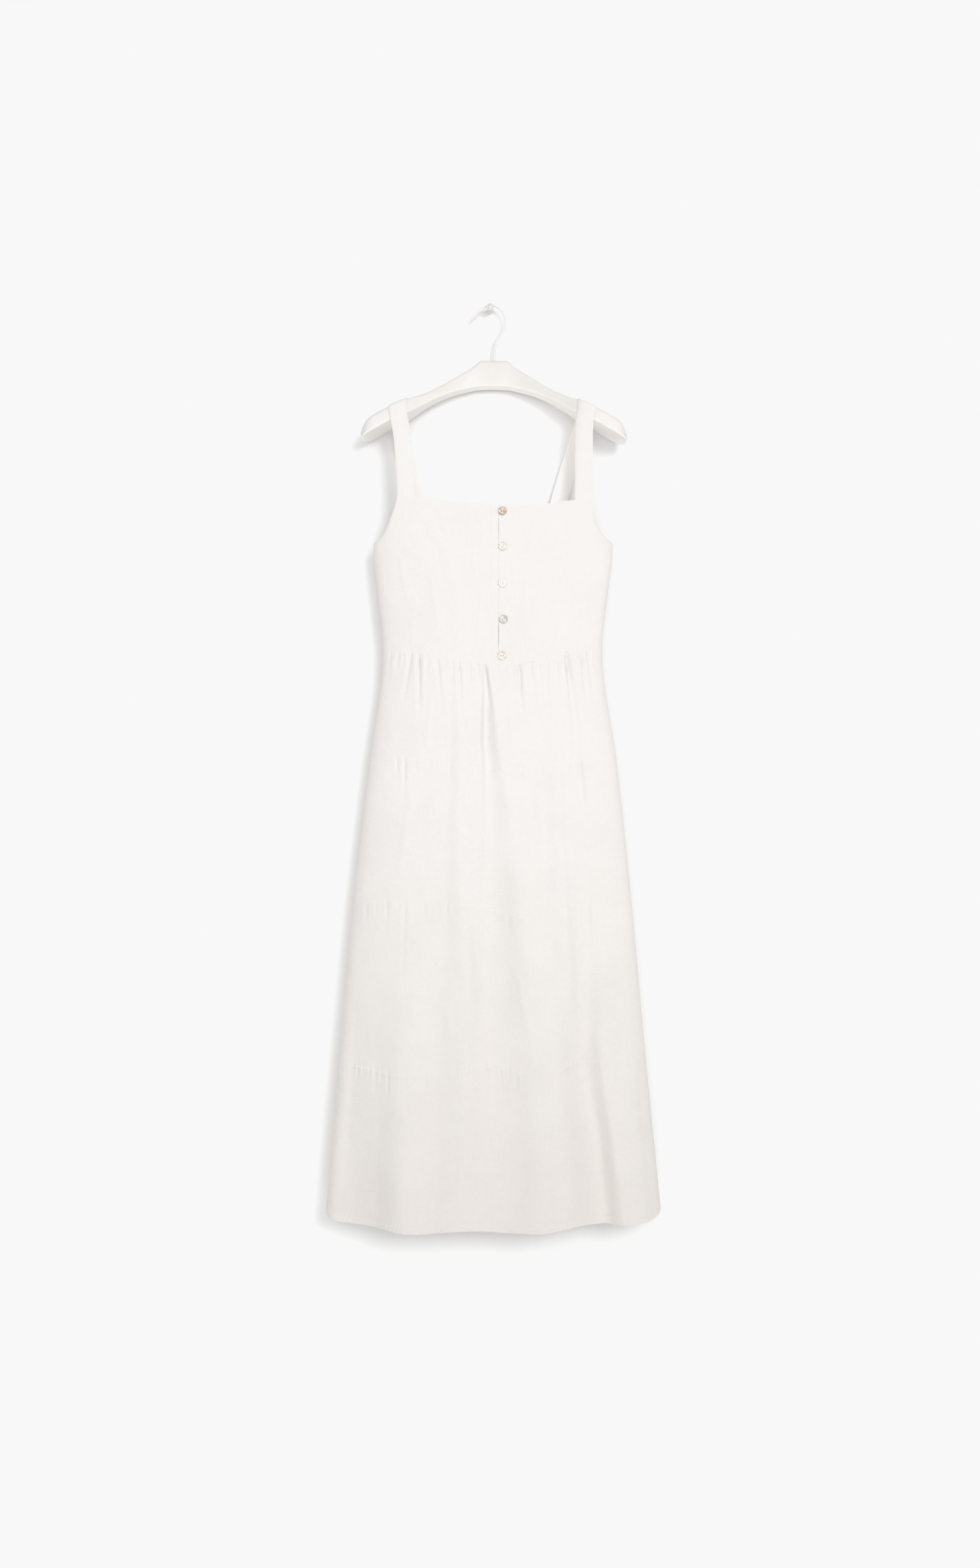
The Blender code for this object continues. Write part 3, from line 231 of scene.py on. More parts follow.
FRONT_SEAM_TWO_GATHERS = (
    Gather(-0.143, -0.144, -0.0019, 0.0045, 0.030),
    Gather(-0.131, -0.132, -0.0023, 0.0045, 0.060),
    Gather(-0.114, -0.115, -0.0014, 0.0045, 0.022),
    Gather(-0.092, -0.093, -0.0010, 0.0045, 0.030),
    Gather(-0.062, -0.062, -0.0009, 0.0045, 0.025),
    Gather(-0.020, -0.020, -0.0011, 0.0045, 0.030),
    Gather(0.048, 0.049, -0.0010, 0.0045, 0.026),
    Gather(0.078, 0.079, -0.0009, 0.0045, 0.022),
    Gather(0.124, 0.127, -0.0016, 0.0045, 0.030),
    Gather(0.139, 0.146, -0.0026, 0.0050, 0.090),
    Gather(0.154, 0.158, -0.0015, 0.0045, 0.035),
)
FRONT_SEAM_THREE_GATHERS = (
    Gather(-0.190, -0.192, -0.0017, 0.0045, 0.040),
    Gather(-0.174, -0.176, -0.0011, 0.0045, 0.030),
    Gather(-0.157, -0.159, -0.0017, 0.0045, 0.032),
    Gather(-0.130, -0.134, -0.0013, 0.0050, 0.130),
    Gather(-0.100, -0.101, -0.0010, 0.0045, 0.028),
    Gather(-0.077, -0.078, -0.0013, 0.0045, 0.030),
    Gather(-0.066, -0.066, -0.0013, 0.0040, 0.028),
    Gather(0.005, 0.004, -0.0010, 0.0042, 0.030),
    Gather(0.028, 0.033, -0.0008, 0.0060, 0.060),
    Gather(0.070, 0.071, -0.0008, 0.0045, 0.024),
    Gather(0.133, 0.134, -0.0014, 0.0045, 0.026),
    Gather(0.152, 0.153, -0.0018, 0.0050, 0.070),
)
FRONT_SEAM_FOUR_GATHERS = (
    Gather(-0.214, -0.215, -0.0012, 0.0034, 0.016),
    Gather(-0.205, -0.206, -0.0016, 0.0036, 0.024),
    Gather(-0.197, -0.198, -0.0011, 0.0030, 0.014),
    Gather(-0.186, -0.188, -0.0012, 0.0032, 0.020),
    Gather(-0.176, -0.178, -0.0018, 0.0038, 0.036),
    Gather(-0.167, -0.168, -0.0013, 0.0030, 0.018),
    Gather(-0.155, -0.157, -0.0019, 0.0038, 0.042),
    Gather(-0.143, -0.144, -0.0009, 0.0032, 0.014),
    Gather(-0.128, -0.129, -0.0009, 0.0036, 0.020),
    Gather(-0.090, -0.091, -0.0008, 0.0040, 0.018),
    Gather(-0.052, -0.052, -0.0009, 0.0036, 0.016),
    Gather(-0.030, -0.030, -0.0011, 0.0032, 0.018),
    Gather(-0.016, -0.015, -0.0010, 0.0030, 0.014),
    Gather(-0.004, -0.002, -0.0019, 0.0036, 0.036),
    Gather(0.007, 0.009, -0.0012, 0.0030, 0.018),
    Gather(0.015, 0.019, -0.0018, 0.0036, 0.046),
    Gather(0.029, 0.030, -0.0013, 0.0030, 0.016),
    Gather(0.039, 0.041, -0.0015, 0.0036, 0.034),
    Gather(0.051, 0.052, -0.0010, 0.0032, 0.014),
    Gather(0.066, 0.067, -0.0009, 0.0036, 0.018),
    Gather(0.098, 0.099, -0.0008, 0.0040, 0.018),
    Gather(0.148, 0.149, -0.0018, 0.0040, 0.030),
    Gather(0.176, 0.178, -0.0009, 0.0034, 0.016),
    Gather(0.193, 0.195, -0.0012, 0.0036, 0.022),
    Gather(0.212, 0.214, -0.0012, 0.0036, 0.018),
)
FRONT_GATHERS = (
    FRONT_WAIST_GATHERS, FRONT_SEAM_TWO_GATHERS, FRONT_SEAM_THREE_GATHERS, FRONT_SEAM_FOUR_GATHERS,
)
BackGathers = namedtuple("BackGathers", "count rise reach length")
BACK_GATHERS = (
    BackGathers(24, -0.0040, 0.0050, 0.085),
    BackGathers(14, -0.0034, 0.0052, 0.050),
    BackGathers(14, -0.0034, 0.0052, 0.055),
    BackGathers(16, -0.0036, 0.0052, 0.040),
)
BACK_GATHER_MARGIN = 0.05
BACK_GATHER_SPREAD = 1.03

# Waves that make the hidden gathers uneven: their least value, what a wave adds, and its pace along the seam
Unevenness = namedtuple("Unevenness", "least added pace")
UNEVEN_PLACE = Unevenness(0.5, 0.28, 2.4)
UNEVEN_SIZE = Unevenness(0.70, 0.45, 1.7)
UNEVEN_LENGTH = Unevenness(0.60, 0.80, 1.1)

# Profile of a gather: how deep it starts, where it is full, and its shoulders' height, place and width
GATHER_START = 0.40
GATHER_FULL_AT = 0.010
GATHER_SHOULDER = 0.20
GATHER_SHOULDER_AT = 1.3
GATHER_SHOULDER_WIDTH = 0.45

# Sewn seams: a low ridge just below the seam, and fine puckers with their pitch, rise and length
SeamForm = namedtuple("SeamForm", "ridge ridge_reach pitch pucker pucker_length")
SEAM_FORMS = (
    SeamForm(0.00030, 0.0026, 0.0052, 0.00045, 0.018),
    SeamForm(0.00050, 0.0024, 0.0064, 0.00020, 0.010),
    SeamForm(0.00060, 0.0024, 0.0060, 0.00025, 0.010),
    SeamForm(0.00120, 0.0026, 0.0050, 0.00040, 0.014),
)
RIDGE_FALL = 0.0110
PULL_ABOVE = 0.0028
HEM_BAND = 0.0090
HEM_BAND_EDGE = 0.0012
HEM_BAND_RISE = 0.0004
HEM_GROOVE = 0.0004
HEM_GROOVE_REACH = 0.0016
HEM_PUCKER_PITCH = 0.0070
HEM_PUCKER_RISE = 0.00030
HEM_PUCKER_SLANT = 0.35
HEM_PUCKER_PHASE = 5

# How puckers wander along a seam: two shifts of their pitch, and a height that rises and falls
Shift = namedtuple("Shift", "turns span")
PITCH_SHIFTS = (Shift(0.55, 0.0173), Shift(0.30, 0.0069))
PUCKER_KEPT = 0.55
PUCKER_ADDED = 0.45
PUCKER_SPANS = (0.0210, 0.0083)

# Small creases, each along a straight line: rise is positive for a ridge and negative for a trough
Crease = namedtuple("Crease", "x down x_end down_end rise reach")
BODICE_CREASES = (
    Crease(-0.084, 0.316, -0.058, 0.394, 0.0009, 0.0085),
    Crease(0.122, 0.318, 0.078, 0.367, 0.0007, 0.0090),
    Crease(0.070, 0.352, 0.056, 0.402, 0.0008, 0.0080),
    Crease(0.058, 0.430, 0.050, 0.500, 0.0007, 0.0080),
    Crease(-0.024, 0.381, -0.026, 0.427, 0.0004, 0.0030),
    Crease(-0.026, 0.401, 0.001, 0.401, 0.0003, 0.0018),
    Crease(-0.092, 0.430, -0.078, 0.520, 0.0008, 0.0090),
    Crease(-0.140, 0.400, -0.128, 0.470, 0.0007, 0.0080),
    Crease(-0.012, 0.450, -0.020, 0.540, 0.0006, 0.0070),
    Crease(0.032, 0.560, 0.050, 0.546, 0.0006, 0.0022),
    Crease(0.030, 0.552, 0.046, 0.530, 0.0005, 0.0022),
    Crease(0.128, 0.470, 0.138, 0.530, 0.0008, 0.0080),
    Crease(0.110, 0.400, 0.126, 0.450, 0.0006, 0.0080),
    Crease(0.152, 0.400, 0.150, 0.470, 0.0007, 0.0080),
    Crease(-0.095, 0.535, -0.075, 0.500, 0.0006, 0.0050),
    Crease(-0.120, 0.541, -0.120, 0.500, 0.0005, 0.0050),
    Crease(0.066, 0.556, 0.070, 0.520, 0.0006, 0.0040),
    Crease(0.100, 0.550, 0.106, 0.505, 0.0006, 0.0045),
)
SKIRT_CREASES = (
    Crease(0.060, 1.310, 0.096, 1.317, 0.0005, 0.0018),
    Crease(0.094, 1.316, 0.132, 1.322, 0.0005, 0.0018),
    Crease(0.089, 1.245, 0.100, 1.289, 0.0006, 0.0028),
    Crease(0.114, 1.250, 0.100, 1.289, 0.0005, 0.0028),
    Crease(-0.020, 1.345, 0.030, 1.350, 0.0004, 0.0022),
    Crease(-0.140, 1.300, -0.100, 1.305, 0.0004, 0.0022),
    Crease(-0.210, 1.380, -0.160, 1.372, 0.0004, 0.0024),
    Crease(0.000, 0.735, 0.022, 0.728, 0.0010, 0.0022),
    Crease(0.030, 0.742, 0.018, 0.732, 0.0008, 0.0020),
    Crease(-0.070, 1.060, -0.060, 1.150, 0.0008, 0.0120),
    Crease(0.040, 1.040, 0.060, 1.140, 0.0009, 0.0120),
    Crease(-0.120, 0.760, -0.140, 0.900, 0.0010, 0.0130),
    Crease(-0.090, 0.620, -0.098, 0.700, 0.0010, 0.0090),
    Crease(0.030, 0.620, 0.034, 0.700, 0.0010, 0.0090),
    Crease(0.075, 0.760, 0.080, 0.900, 0.0010, 0.0120),
)

# Crumple all over the cloth: the size of its features across and down, and how far it rises
Crumple = namedtuple("Crumple", "across down rise seed")
SKIRT_CRUMPLE = (
    Crumple(0.030, 0.060, 0.00060, 11),
    Crumple(0.012, 0.018, 0.00022, 12),
    Crumple(0.0045, 0.0060, 0.00007, 13),
)
BODICE_CRUMPLE = (
    Crumple(0.024, 0.034, 0.00045, 21),
    Crumple(0.010, 0.014, 0.00016, 22),
    Crumple(0.0045, 0.0060, 0.00006, 23),
)
NOISE_CELLS = 512

# Bodice: its usual height, the level its fitting starts from, and half widths that set its columns
BODICE_HEIGHT = 0.245
BODICE_MIDDLE = 0.45
BODICE_FRONT_HALF = 0.095
BODICE_BACK_HALF = 0.18

# Front closing
SLIT_X = 0.0133
SLIT_CLOSED = 0.0001
Opening = namedtuple("Opening", "down reach width")
SLIT_OPENINGS = (Opening(0.361, 0.024, 0.0004), Opening(0.525, 0.026, 0.0010))
STAND_LEFT = -0.0010
STAND_RIGHT = 0.0350
STAND_TOP = 0.3252
STAND_BOTTOM = 0.5700
STAND_ROWS = 90
STAND_COLUMNS = 14
BAND_RISE = 0.00035
BAND_EDGE = 0.0007
PLACKET_LEFT = 0.0010
PLACKET_RIGHT = 0.0350
PLACKET_TOP = 0.3262
PLACKET_END = 0.5650
PLACKET_END_RIGHT = 0.0177

# Buttons: turn is how far the holes' line is turned, and each button's pale and deep colours
Button = namedtuple("Button", "down x turn pale deep")
BUTTONS = (
    Button(0.3333, 0.0192, 0.30, (0.62, 0.52, 0.42), (0.34, 0.25, 0.18)),
    Button(0.3878, 0.0198, 1.10, (0.84, 0.81, 0.73), (0.62, 0.56, 0.42)),
    Button(0.4445, 0.0196, 1.57, (0.84, 0.85, 0.84), (0.66, 0.67, 0.66)),
    Button(0.4999, 0.0206, 0.70, (0.66, 0.67, 0.58), (0.39, 0.41, 0.33)),
    Button(0.5562, 0.0185, 0.12, (0.86, 0.82, 0.72), (0.60, 0.50, 0.37)),
)
BUTTON_RADIUS = 0.0066
BUTTON_THICK = 0.0024
BUTTON_EDGE = 0.0008
BUTTON_RIM = 0.0012
BUTTON_DISH = 0.0005
BUTTON_DISH_RADIUS = 0.0046
BUTTON_HOLE_RADIUS = 0.0008
BUTTON_HOLE_PITCH = 0.0034
BUTTON_SIDES = 72
BUTTON_EDGE_STEPS = 12
BUTTON_DISH_STEPS = 8
BUTTON_CENTRE_RADIUS = 0.0002
HOLE_SIDES = 20
HOLE_BEVEL_DEPTH = 0.0002
HOLE_BEVEL_SPREAD = 1.6
HOLE_BEVEL_ABOVE = 0.0006

# Thread in a button: two strands from hole to hole that dip into the holes near their ends
STRAND_APART = 0.00022
STRAND_RADIUS = 0.00028
STRAND_RISE = 0.00035
STRAND_DIP = 0.0022
STRAND_DIP_AT = 0.78
STRAND_STEPS = 16
STRAND_SIDES = 8

# Thread loop that closes a button, from the slit's edge round under the button
LOOP_RADIUS = 0.00055
LOOP_SIDES = 10
LOOP_STEPS = 12
LOOP_REACH = 0.396
LOOP_INSET = 0.0012
LOOP_BACK = 0.0016
LOOP_FOOT_OUT = 0.0004
LOOP_OUT = 0.0008
LOOP_FOOT_HALF = 0.0030
LOOP_HALF = 0.0024

# Straps: the middle line of each strap down its front and down its back
Line = namedtuple("Line", "down x")
Strap = namedtuple("Strap", "name top_x front back")
STRAP_WIDTH = 0.0270
STRAPS = (
    Strap(
        "strap_left", -0.1426,
        (Line(0.172, -0.1426), Line(0.193, -0.1397), Line(0.217, -0.1355), Line(0.261, -0.1317),
         Line(0.311, -0.1290)),
        (Line(0.172, -0.1426), Line(0.207, -0.1390), Line(0.236, -0.1305), Line(0.267, -0.1205),
         Line(0.324, -0.1020)),
    ),
    Strap(
        "strap_right", 0.1500,
        (Line(0.170, 0.1500), Line(0.191, 0.1462), Line(0.217, 0.1450), Line(0.261, 0.1448),
         Line(0.315, 0.1446)),
        (Line(0.178, 0.1485), Line(0.210, 0.1385), Line(0.271, 0.1196), Line(0.309, 0.1085),
         Line(0.324, 0.1046)),
    ),
)
STRAP_COLUMNS = 25
STRAP_STATIONS = 44
STRAP_TOP = 0.94
STRAP_STITCH_INSET = 0.0022
STRAP_EDGE_DROP = 0.0005
STRAP_EDGE_POWER = 12
STRAP_CORNER_STEPS = 8
STRAP_WAVE = 0.0004
STRAP_WAVE_PACE = 9
STRAP_WAVE_ACROSS = 40

# Hanger: half of its length from the centre out, with the top, bottom, front and back of each section
Hanger = namedtuple("Hanger", "out top bottom front back")
HANGER_X = 0.0062
HANGER_TILT = math.radians(0.6)
HANGER = (
    Hanger(0.0000, 0.0842, 0.1261, 0.0280, 0.0040),
    Hanger(0.0200, 0.0843, 0.1266, 0.0285, 0.0040),
    Hanger(0.0250, 0.0875, 0.1273, 0.0289, 0.0045),
    Hanger(0.0316, 0.0940, 0.1288, 0.0298, 0.0055),
    Hanger(0.0450, 0.1033, 0.1327, 0.0326, 0.0076),
    Hanger(0.0590, 0.1130, 0.1368, 0.0366, 0.0100),
    Hanger(0.0890, 0.1335, 0.1510, 0.0470, 0.0170),
    Hanger(0.1137, 0.1472, 0.1666, 0.0560, 0.0205),
    Hanger(0.1270, 0.1535, 0.1758, 0.0635, 0.0185),
    Hanger(0.1400, 0.1598, 0.1836, 0.0693, 0.0158),
    Hanger(0.1600, 0.1691, 0.1926, 0.0720, 0.0140),
    Hanger(0.1870, 0.1838, 0.2081, 0.0720, 0.0140),
    Hanger(0.1950, 0.1894, 0.2124, 0.0705, 0.0155),
    Hanger(0.2005, 0.1951, 0.2148, 0.0670, 0.0190),
    Hanger(0.2042, 0.2008, 0.2162, 0.0618, 0.0242),
    Hanger(0.2062, 0.2056, 0.2160, 0.0560, 0.0300),
)
HANGER_TOP_ROUND = 0.0080
HANGER_BOTTOM_ROUND = 0.0035
ROUND_SHARE = 0.45
HANGER_NOSE = 0.0018
NOSE_FLAT = 0.12
NOSE_STEPS = 6
HANGER_CORNER_STEPS = 8

# Sections along the hanger: how far apart they are, and how strongly they crowd towards its ends
HANGER_STEP = 0.0022
HANGER_CROWDING = 0.55

# Hook and peg
HOOK_OUT = 0.0160
HOOK_RADIUS = 0.00175
HOOK_SIDES = 20
HOOK_STEPS = 8
HOOK_LINE = (
    Line(0.0839, 0.0066), Line(0.0700, 0.0073), Line(0.0551, 0.0090), Line(0.0442, 0.0144),
    Line(0.0330, 0.0213), Line(0.0215, 0.0243), Line(0.0105, 0.0222), Line(0.0012, 0.0163),
    Line(-0.0044, 0.0075), Line(-0.00545, 0.0000), Line(-0.0028, -0.0082), Line(0.0040, -0.0160),
    Line(0.0112, -0.0236), Line(0.0186, -0.0308),
)
Turn = namedtuple("Turn", "radius out")
PEG = (
    Turn(0.0034, 0.0000), Turn(0.0034, 0.0216), Turn(0.0036, 0.0219), Turn(0.0054, 0.0220),
    Turn(0.0058, 0.0224), Turn(0.0059, 0.0233), Turn(0.0058, 0.0242), Turn(0.0055, 0.0249),
    Turn(0.0050, 0.0254), Turn(0.0044, 0.0256), Turn(0.0039, 0.0254), Turn(0.0035, 0.0250),
    Turn(0.0032, 0.0253), Turn(0.0026, 0.0259), Turn(0.0016, 0.0263), Turn(0.0000, 0.0265),
)
PEG_SIDES = 64
PEG_CENTRE_RADIUS = 0.00005

# Swept tubes: how much narrower their ends are, and the least sine of an angle that fixes their turn
SWEEP_END = 0.55
SWEEP_LEAST = 0.1

# Stitching: one thread stitch, as length, thickness, and the gap between two
Stitch = namedtuple("Stitch", "length thick gap")
TOPSTITCH = Stitch(0.0019, 0.00032, 0.0007)
PLACKET_STITCH_INSET = 0.0010
PLACKET_STEPS = 160
PLACKET_END_STEPS = 20
HEM_STITCH_REACH = 0.985
HEM_STITCH_STEPS = 500
STITCH_SIDES = 5
STITCH_RINGS = ((-0.5, 0.25), (-0.38, 0.85), (0.0, 1.0), (0.38, 0.85), (0.5, 0.25))

# Small steps over the cloth, to find its normals: in metres, and as shares across a tier and down it
PROBE = 0.001
PROBE_ACROSS = 0.002
PROBE_DOWN = 0.004

# Edges sharper than this stay sharp
SHARP_CLOTH = math.radians(70)
SHARP_SOLID = math.radians(50)
SHARP_BUTTON = math.radians(35)

# Camera: the photograph's plane and distance
IMAGE_LONG_SIDE = 2420
SENSOR = 36.0
CAMERA_DISTANCE = 2.0
CAMERA_PLANE = 0.072
CAMERA_DOWN = 0.7541
PIXEL = 0.001

# Surface marks: smooth noise that is finer as its scale grows, and along an axis as its stretch grows
Marks = namedtuple("Marks", "scale detail rough stretch", defaults=(2.0, 0.5, (1.0, 1.0, 1.0)))
THREAD_WANDER = Marks(140.0)
WEFT_SLUBS = Marks(1.0, 3.0, 0.6, (90.0, 90.0, 1400.0))
WARP_SLUBS = Marks(1.0, 3.0, 0.6, (1400.0, 1400.0, 70.0))
LINEN_CLOUD = Marks(14.0, 3.0)
PEARL_CLOUD = Marks(260.0, 3.0, 0.55)
BRUSH_MARKS = Marks(1.0, 4.0, 0.6, (9.0, 160.0, 160.0))
PAINT_CLOUD = Marks(30.0, 3.0)
TURNING_MARKS = Marks(1.0, 2.0, 0.5, (60.0, 3000.0, 60.0))
NICKEL_WEAR = Marks(420.0, 3.0)
COAT_CLOUD = Marks(90.0, 3.0)
COAT_GRAIN = Marks(900.0)

# Colours: a material's pale and deep tones
Tones = namedtuple("Tones", "pale deep")
WHITE = (1.0, 1.0, 1.0)
CLOTH_TONES = Tones((0.788, 0.759, 0.741), (0.731, 0.702, 0.681))
# Painted light: the button stand is paler and warmer than the cloth, so the slit over it shows light
STAND_PAINTED_LIGHT_TONES = Tones((0.93, 0.88, 0.80), (0.88, 0.82, 0.73))
STRAP_TONES = Tones((0.790, 0.762, 0.744), (0.735, 0.706, 0.686))
THREAD_TONES = Tones((0.81, 0.782, 0.762), (0.76, 0.732, 0.712))
HANGER_TONES = Tones((0.745, 0.713, 0.690), (0.720, 0.690, 0.664))
WIRE_TONES = Tones((0.79, 0.772, 0.758), (0.755, 0.735, 0.72))
NICKEL_TONES = Tones((0.74, 0.735, 0.72), (0.60, 0.59, 0.57))

# Linen: its threads' pitch and waver, the shares of slubs and clouds in its tone, the painted shade that
# darkens it towards the hem and fades upwards, and the painted light that makes the straps paler and warmer
# near the wall
THREAD_PITCH = 0.00052
THREAD_WAVER = 3.0
SLUB_SHARE = 0.5
CLOUD_SHARE = 0.35
PAINTED_HEM_SHADE = (0.925, 0.915, 0.896)
PAINTED_HEM_SHADE_DOWN = 1.44
PAINTED_HEM_SHADE_REACH = 0.64
PAINTED_LIGHT_DEPTH = 0.041
PAINTED_LIGHT_STEEPNESS = 100.0
STRAP_PAINTED_LIGHT = (0.955, 0.932, 0.902)

# Pearl: the share of its bands in its tone, and how large and how bent they are
BAND_SHARE = 0.25
BAND_SCALE = 60.0
BAND_BEND = 9.0
BAND_DETAIL = 2.0

# Hanger's paint: its roughness and how far that varies, painted light that pales its underside, and how fast
# a slope reaches it
PAINT_ROUGH = 0.60
PAINT_SMOOTHER = 0.06
PAINT_ROUGHER = 0.08
UNDERSIDE_PAINTED_LIGHT = (0.955, 0.93, 0.89)
UNDERSIDE_PAINTED_LIGHT_STEP = 1.4

# Wall and floor
WALL_BEHIND = 0.0006
WALL_WHITE = 0.890
WALL_WHITE_LOW = 0.970
WALL_PALER_BELOW = 0.75
WALL_TOP = 1.0
WALL_HALF_WIDTH = 2.4
FLOOR_DOWN = 2.15
FLOOR_HALF = 9.0
FLOOR_COLOUR = (0.76, 0.76, 0.75)

# Light
KEY_PLACE = (1.60, -4.50, 0.74)
KEY_SIZE = 1.55
KEY_POWER = 82.0
FILL_PLACE = (-0.15, -2.40, -0.28)
FILL_SIZE = 2.2
FILL_POWER = 24.0
BACK_LIGHT_PLACE = (-2.1, 1.3, -1.1)
BACK_LIGHT_SIZE = 1.0
BACK_LIGHT_POWER = 10.0
WORLD_STRENGTH = 0.515
TARGET = (0.0, -0.06, -0.72)
WHITE_LEVEL = 0.940
BRIGHTEST = 4.0
COMBINED_CURVE = 3


# Reading a table
def read(rows, column, places):
    """Values of a column at places along a table's first column, on a smooth curve through its rows."""
    at = np.array([row[0] for row in rows])
    value = np.array([getattr(row, column) for row in rows])
    span = np.diff(at)
    secant = np.diff(value) / span
    product = secant[:-1] * secant[1:]
    total = np.where(product > 0, secant[:-1] + secant[1:], 1.0)
    slope = np.concatenate(([secant[0]], np.where(product > 0, 2 * product / total, 0.0), [secant[-1]]))
    places = np.clip(places, at[0], at[-1])
    k = np.clip(np.searchsorted(at, places, side="right") - 1, 0, len(at) - 2)
    t = (places - at[k]) / span[k]
    blend = t * t * (3 - 2 * t)
    return (
        value[k] + (value[k + 1] - value[k]) * blend
        + slope[k] * span[k] * t * (1 - t) ** 2
        - slope[k + 1] * span[k] * t * t * (1 - t)
    )


def between(start, end, t):
    return start + (end - start) * t


def smooth(t):
    t = np.clip(t, 0.0, 1.0)
    return t * t * (3 - 2 * t)


# The garment's surface
def middle_and_half(down):
    left = read(SECTIONS, "left", down)
    right = read(SECTIONS, "right", down)
    return (left + right) / 2, (right - left) / 2


def across_at(x, down):
    """Place of x between the side edges, from -1 at the left to +1 at the right."""
    middle, half = middle_and_half(down)
    return (x - middle) / half


def fold_rise(folds, x, down):
    total = np.zeros_like(x)
    for fold in folds:
        distance = x - read(fold, "x", down)
        reach = np.where(distance > 0, read(fold, "right", down), read(fold, "left", down))
        inside = (down > fold[0].down) & (down < fold[-1].down) & (np.abs(distance) < reach)
        wave = (1 + np.cos(math.pi * distance / reach)) / 2
        total += np.where(inside, read(fold, "rise", down) * wave, 0.0)
    return total


def gather_rise(gathers, x, below_seam):
    """Rise of a tier's gathers: a narrow trough with a low shoulder on each side, gone at its length."""
    total = np.zeros_like(x)
    for gather in gathers:
        run = np.clip(below_seam / gather.length, 0.0, 1.0)
        distance = np.abs(x - between(gather.x_top, gather.x_end, run)) / gather.reach
        trough = np.clip(1 - distance, 0.0, 1.0) ** 2
        shoulder = np.exp(-((distance - GATHER_SHOULDER_AT) / GATHER_SHOULDER_WIDTH) ** 2)
        start = between(GATHER_START, 1.0, np.clip(below_seam / GATHER_FULL_AT, 0.0, 1.0))
        total += gather.rise * start * (1 - run) * (trough - GATHER_SHOULDER * shoulder)
    return total


def crease_rise(creases, x, down):
    """Rise of small straight creases, each fading towards its two ends and its two sides."""
    total = np.zeros_like(x)
    for crease in creases:
        run_x = crease.x_end - crease.x
        run_down = crease.down_end - crease.down
        length = math.hypot(run_x, run_down)
        along = ((x - crease.x) * run_x + (down - crease.down) * run_down) / length ** 2
        beside = ((x - crease.x) * run_down - (down - crease.down) * run_x) / length
        ends = np.clip(4 * along * (1 - along), 0.0, 1.0)
        total += crease.rise * np.sqrt(ends) * np.exp(-(beside / (crease.reach / 2)) ** 2)
    return total


def noise(x, down, crumple):
    """Smooth noise from -1 to 1 whose features are as large as the crumple says."""
    lattice = np.random.default_rng(crumple.seed).uniform(-1, 1, (NOISE_CELLS, NOISE_CELLS))
    u = x / crumple.across + NOISE_CELLS / 2
    v = down / crumple.down
    i = np.floor(u).astype(int)
    j = np.floor(v).astype(int)
    s = smooth(u - i)
    t = smooth(v - j)
    i %= NOISE_CELLS
    j %= NOISE_CELLS
    next_i = (i + 1) % NOISE_CELLS
    next_j = (j + 1) % NOISE_CELLS
    upper = between(lattice[i, j], lattice[next_i, j], s)
    lower = between(lattice[i, next_j], lattice[next_i, next_j], s)
    return between(upper, lower, t)


def crumple_rise(crumples, x, down):
    return sum(crumple.rise * noise(x, down, crumple) for crumple in crumples)


def garment_points(side, across, down, rise):
    """Points of the garment's outer face, from its section, its folds and a further rise."""
    across = np.clip(across, -1.0, 1.0)
    middle, half = middle_and_half(down)
    power = read(SECTIONS, "squareness", down)
    edge = read(SECTIONS, "side_front" if side == FRONT else "side_back", down)
    depth = read(SECTIONS, "front" if side == FRONT else "back", down) - edge
    reach = np.abs(across)
    out = (1 - reach ** power) ** (1 / power)
    near = np.minimum(reach, NEAR_SIDE)
    steep = -np.sign(across) * near ** (power - 1) * (1 - near ** power) ** (1 / power - 1)
    normal_x = -np.abs(depth) * steep
    normal_y = side * half
    size = np.hypot(normal_x, normal_y)
    x = middle + half * across
    fade = smooth((1 - reach) / FOLD_SIDE_FADE)
    rise = (fold_rise(FRONT_FOLDS if side == FRONT else BACK_FOLDS, x, down) + rise) * fade
    return np.stack([x + normal_x / size * rise, -(edge + depth * out) + normal_y / size * rise, -down], -1)


def seam_level(seam, across):
    """How far down a seam lies at places across the garment."""
    middle, half = middle_and_half(sum(row.down for row in seam) / len(seam))
    level = read(seam, "down", middle + half * across)
    if seam is HEM:
        power = read(SECTIONS, "squareness", level)
        out = (1 - np.clip(np.abs(across), 0.0, 1.0) ** power) ** (1 / power)
        level = level - HEM_SIDE_LIFT * (1 - out) ** HEM_SIDE_LIFT_POWER
    return level


# Objects and meshes
def add_object(name, data):
    made = bpy.data.objects.new(name, data)
    bpy.context.scene.collection.objects.link(made)
    return made


def add_piece(name, mesh, material, replaced=()):
    """An object that rides on the part's one body and stands for the solids it replaces."""
    mesh.materials.clear()
    mesh.materials.append(material)
    piece = add_object(name, mesh)
    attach(piece, BODY)
    if replaced:
        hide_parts(*replaced)
    return piece


def mesh_from(name, points, faces, sharp=SHARP_CLOTH):
    mesh = bpy.data.meshes.new(name)
    mesh.from_pydata(np.asarray(points).reshape(-1, 3).tolist(), [], faces)
    mesh.shade_smooth()
    mesh.set_sharp_from_angle(angle=sharp)
    return mesh


def grid_normals(side, points):
    along = np.gradient(points, axis=1)
    down = np.gradient(points, axis=0)
    normal = np.cross(along, down) * side
    return normal / np.linalg.norm(normal, axis=2, keepdims=True)


def shell_faces(rows, columns, flip):
    """Faces of a closed wall between two grids of points, the outer grid first."""
    count = rows * columns
    a = (np.arange(rows - 1)[:, None] * columns + np.arange(columns - 1)).ravel()
    outer = np.stack([a, a + columns, a + columns + 1, a + 1], 1)
    inner = outer[:, ::-1] + count
    rim = np.concatenate([
        np.arange(columns),
        np.arange(1, rows) * columns + columns - 1,
        (rows - 1) * columns + np.arange(columns - 2, -1, -1),
        np.arange(rows - 2, 0, -1) * columns,
    ])
    following = np.roll(rim, -1)
    edge = np.stack([rim, following, following + count, rim + count], 1)
    faces = np.concatenate([outer, inner, edge])
    return (faces[:, ::-1] if flip else faces).tolist()


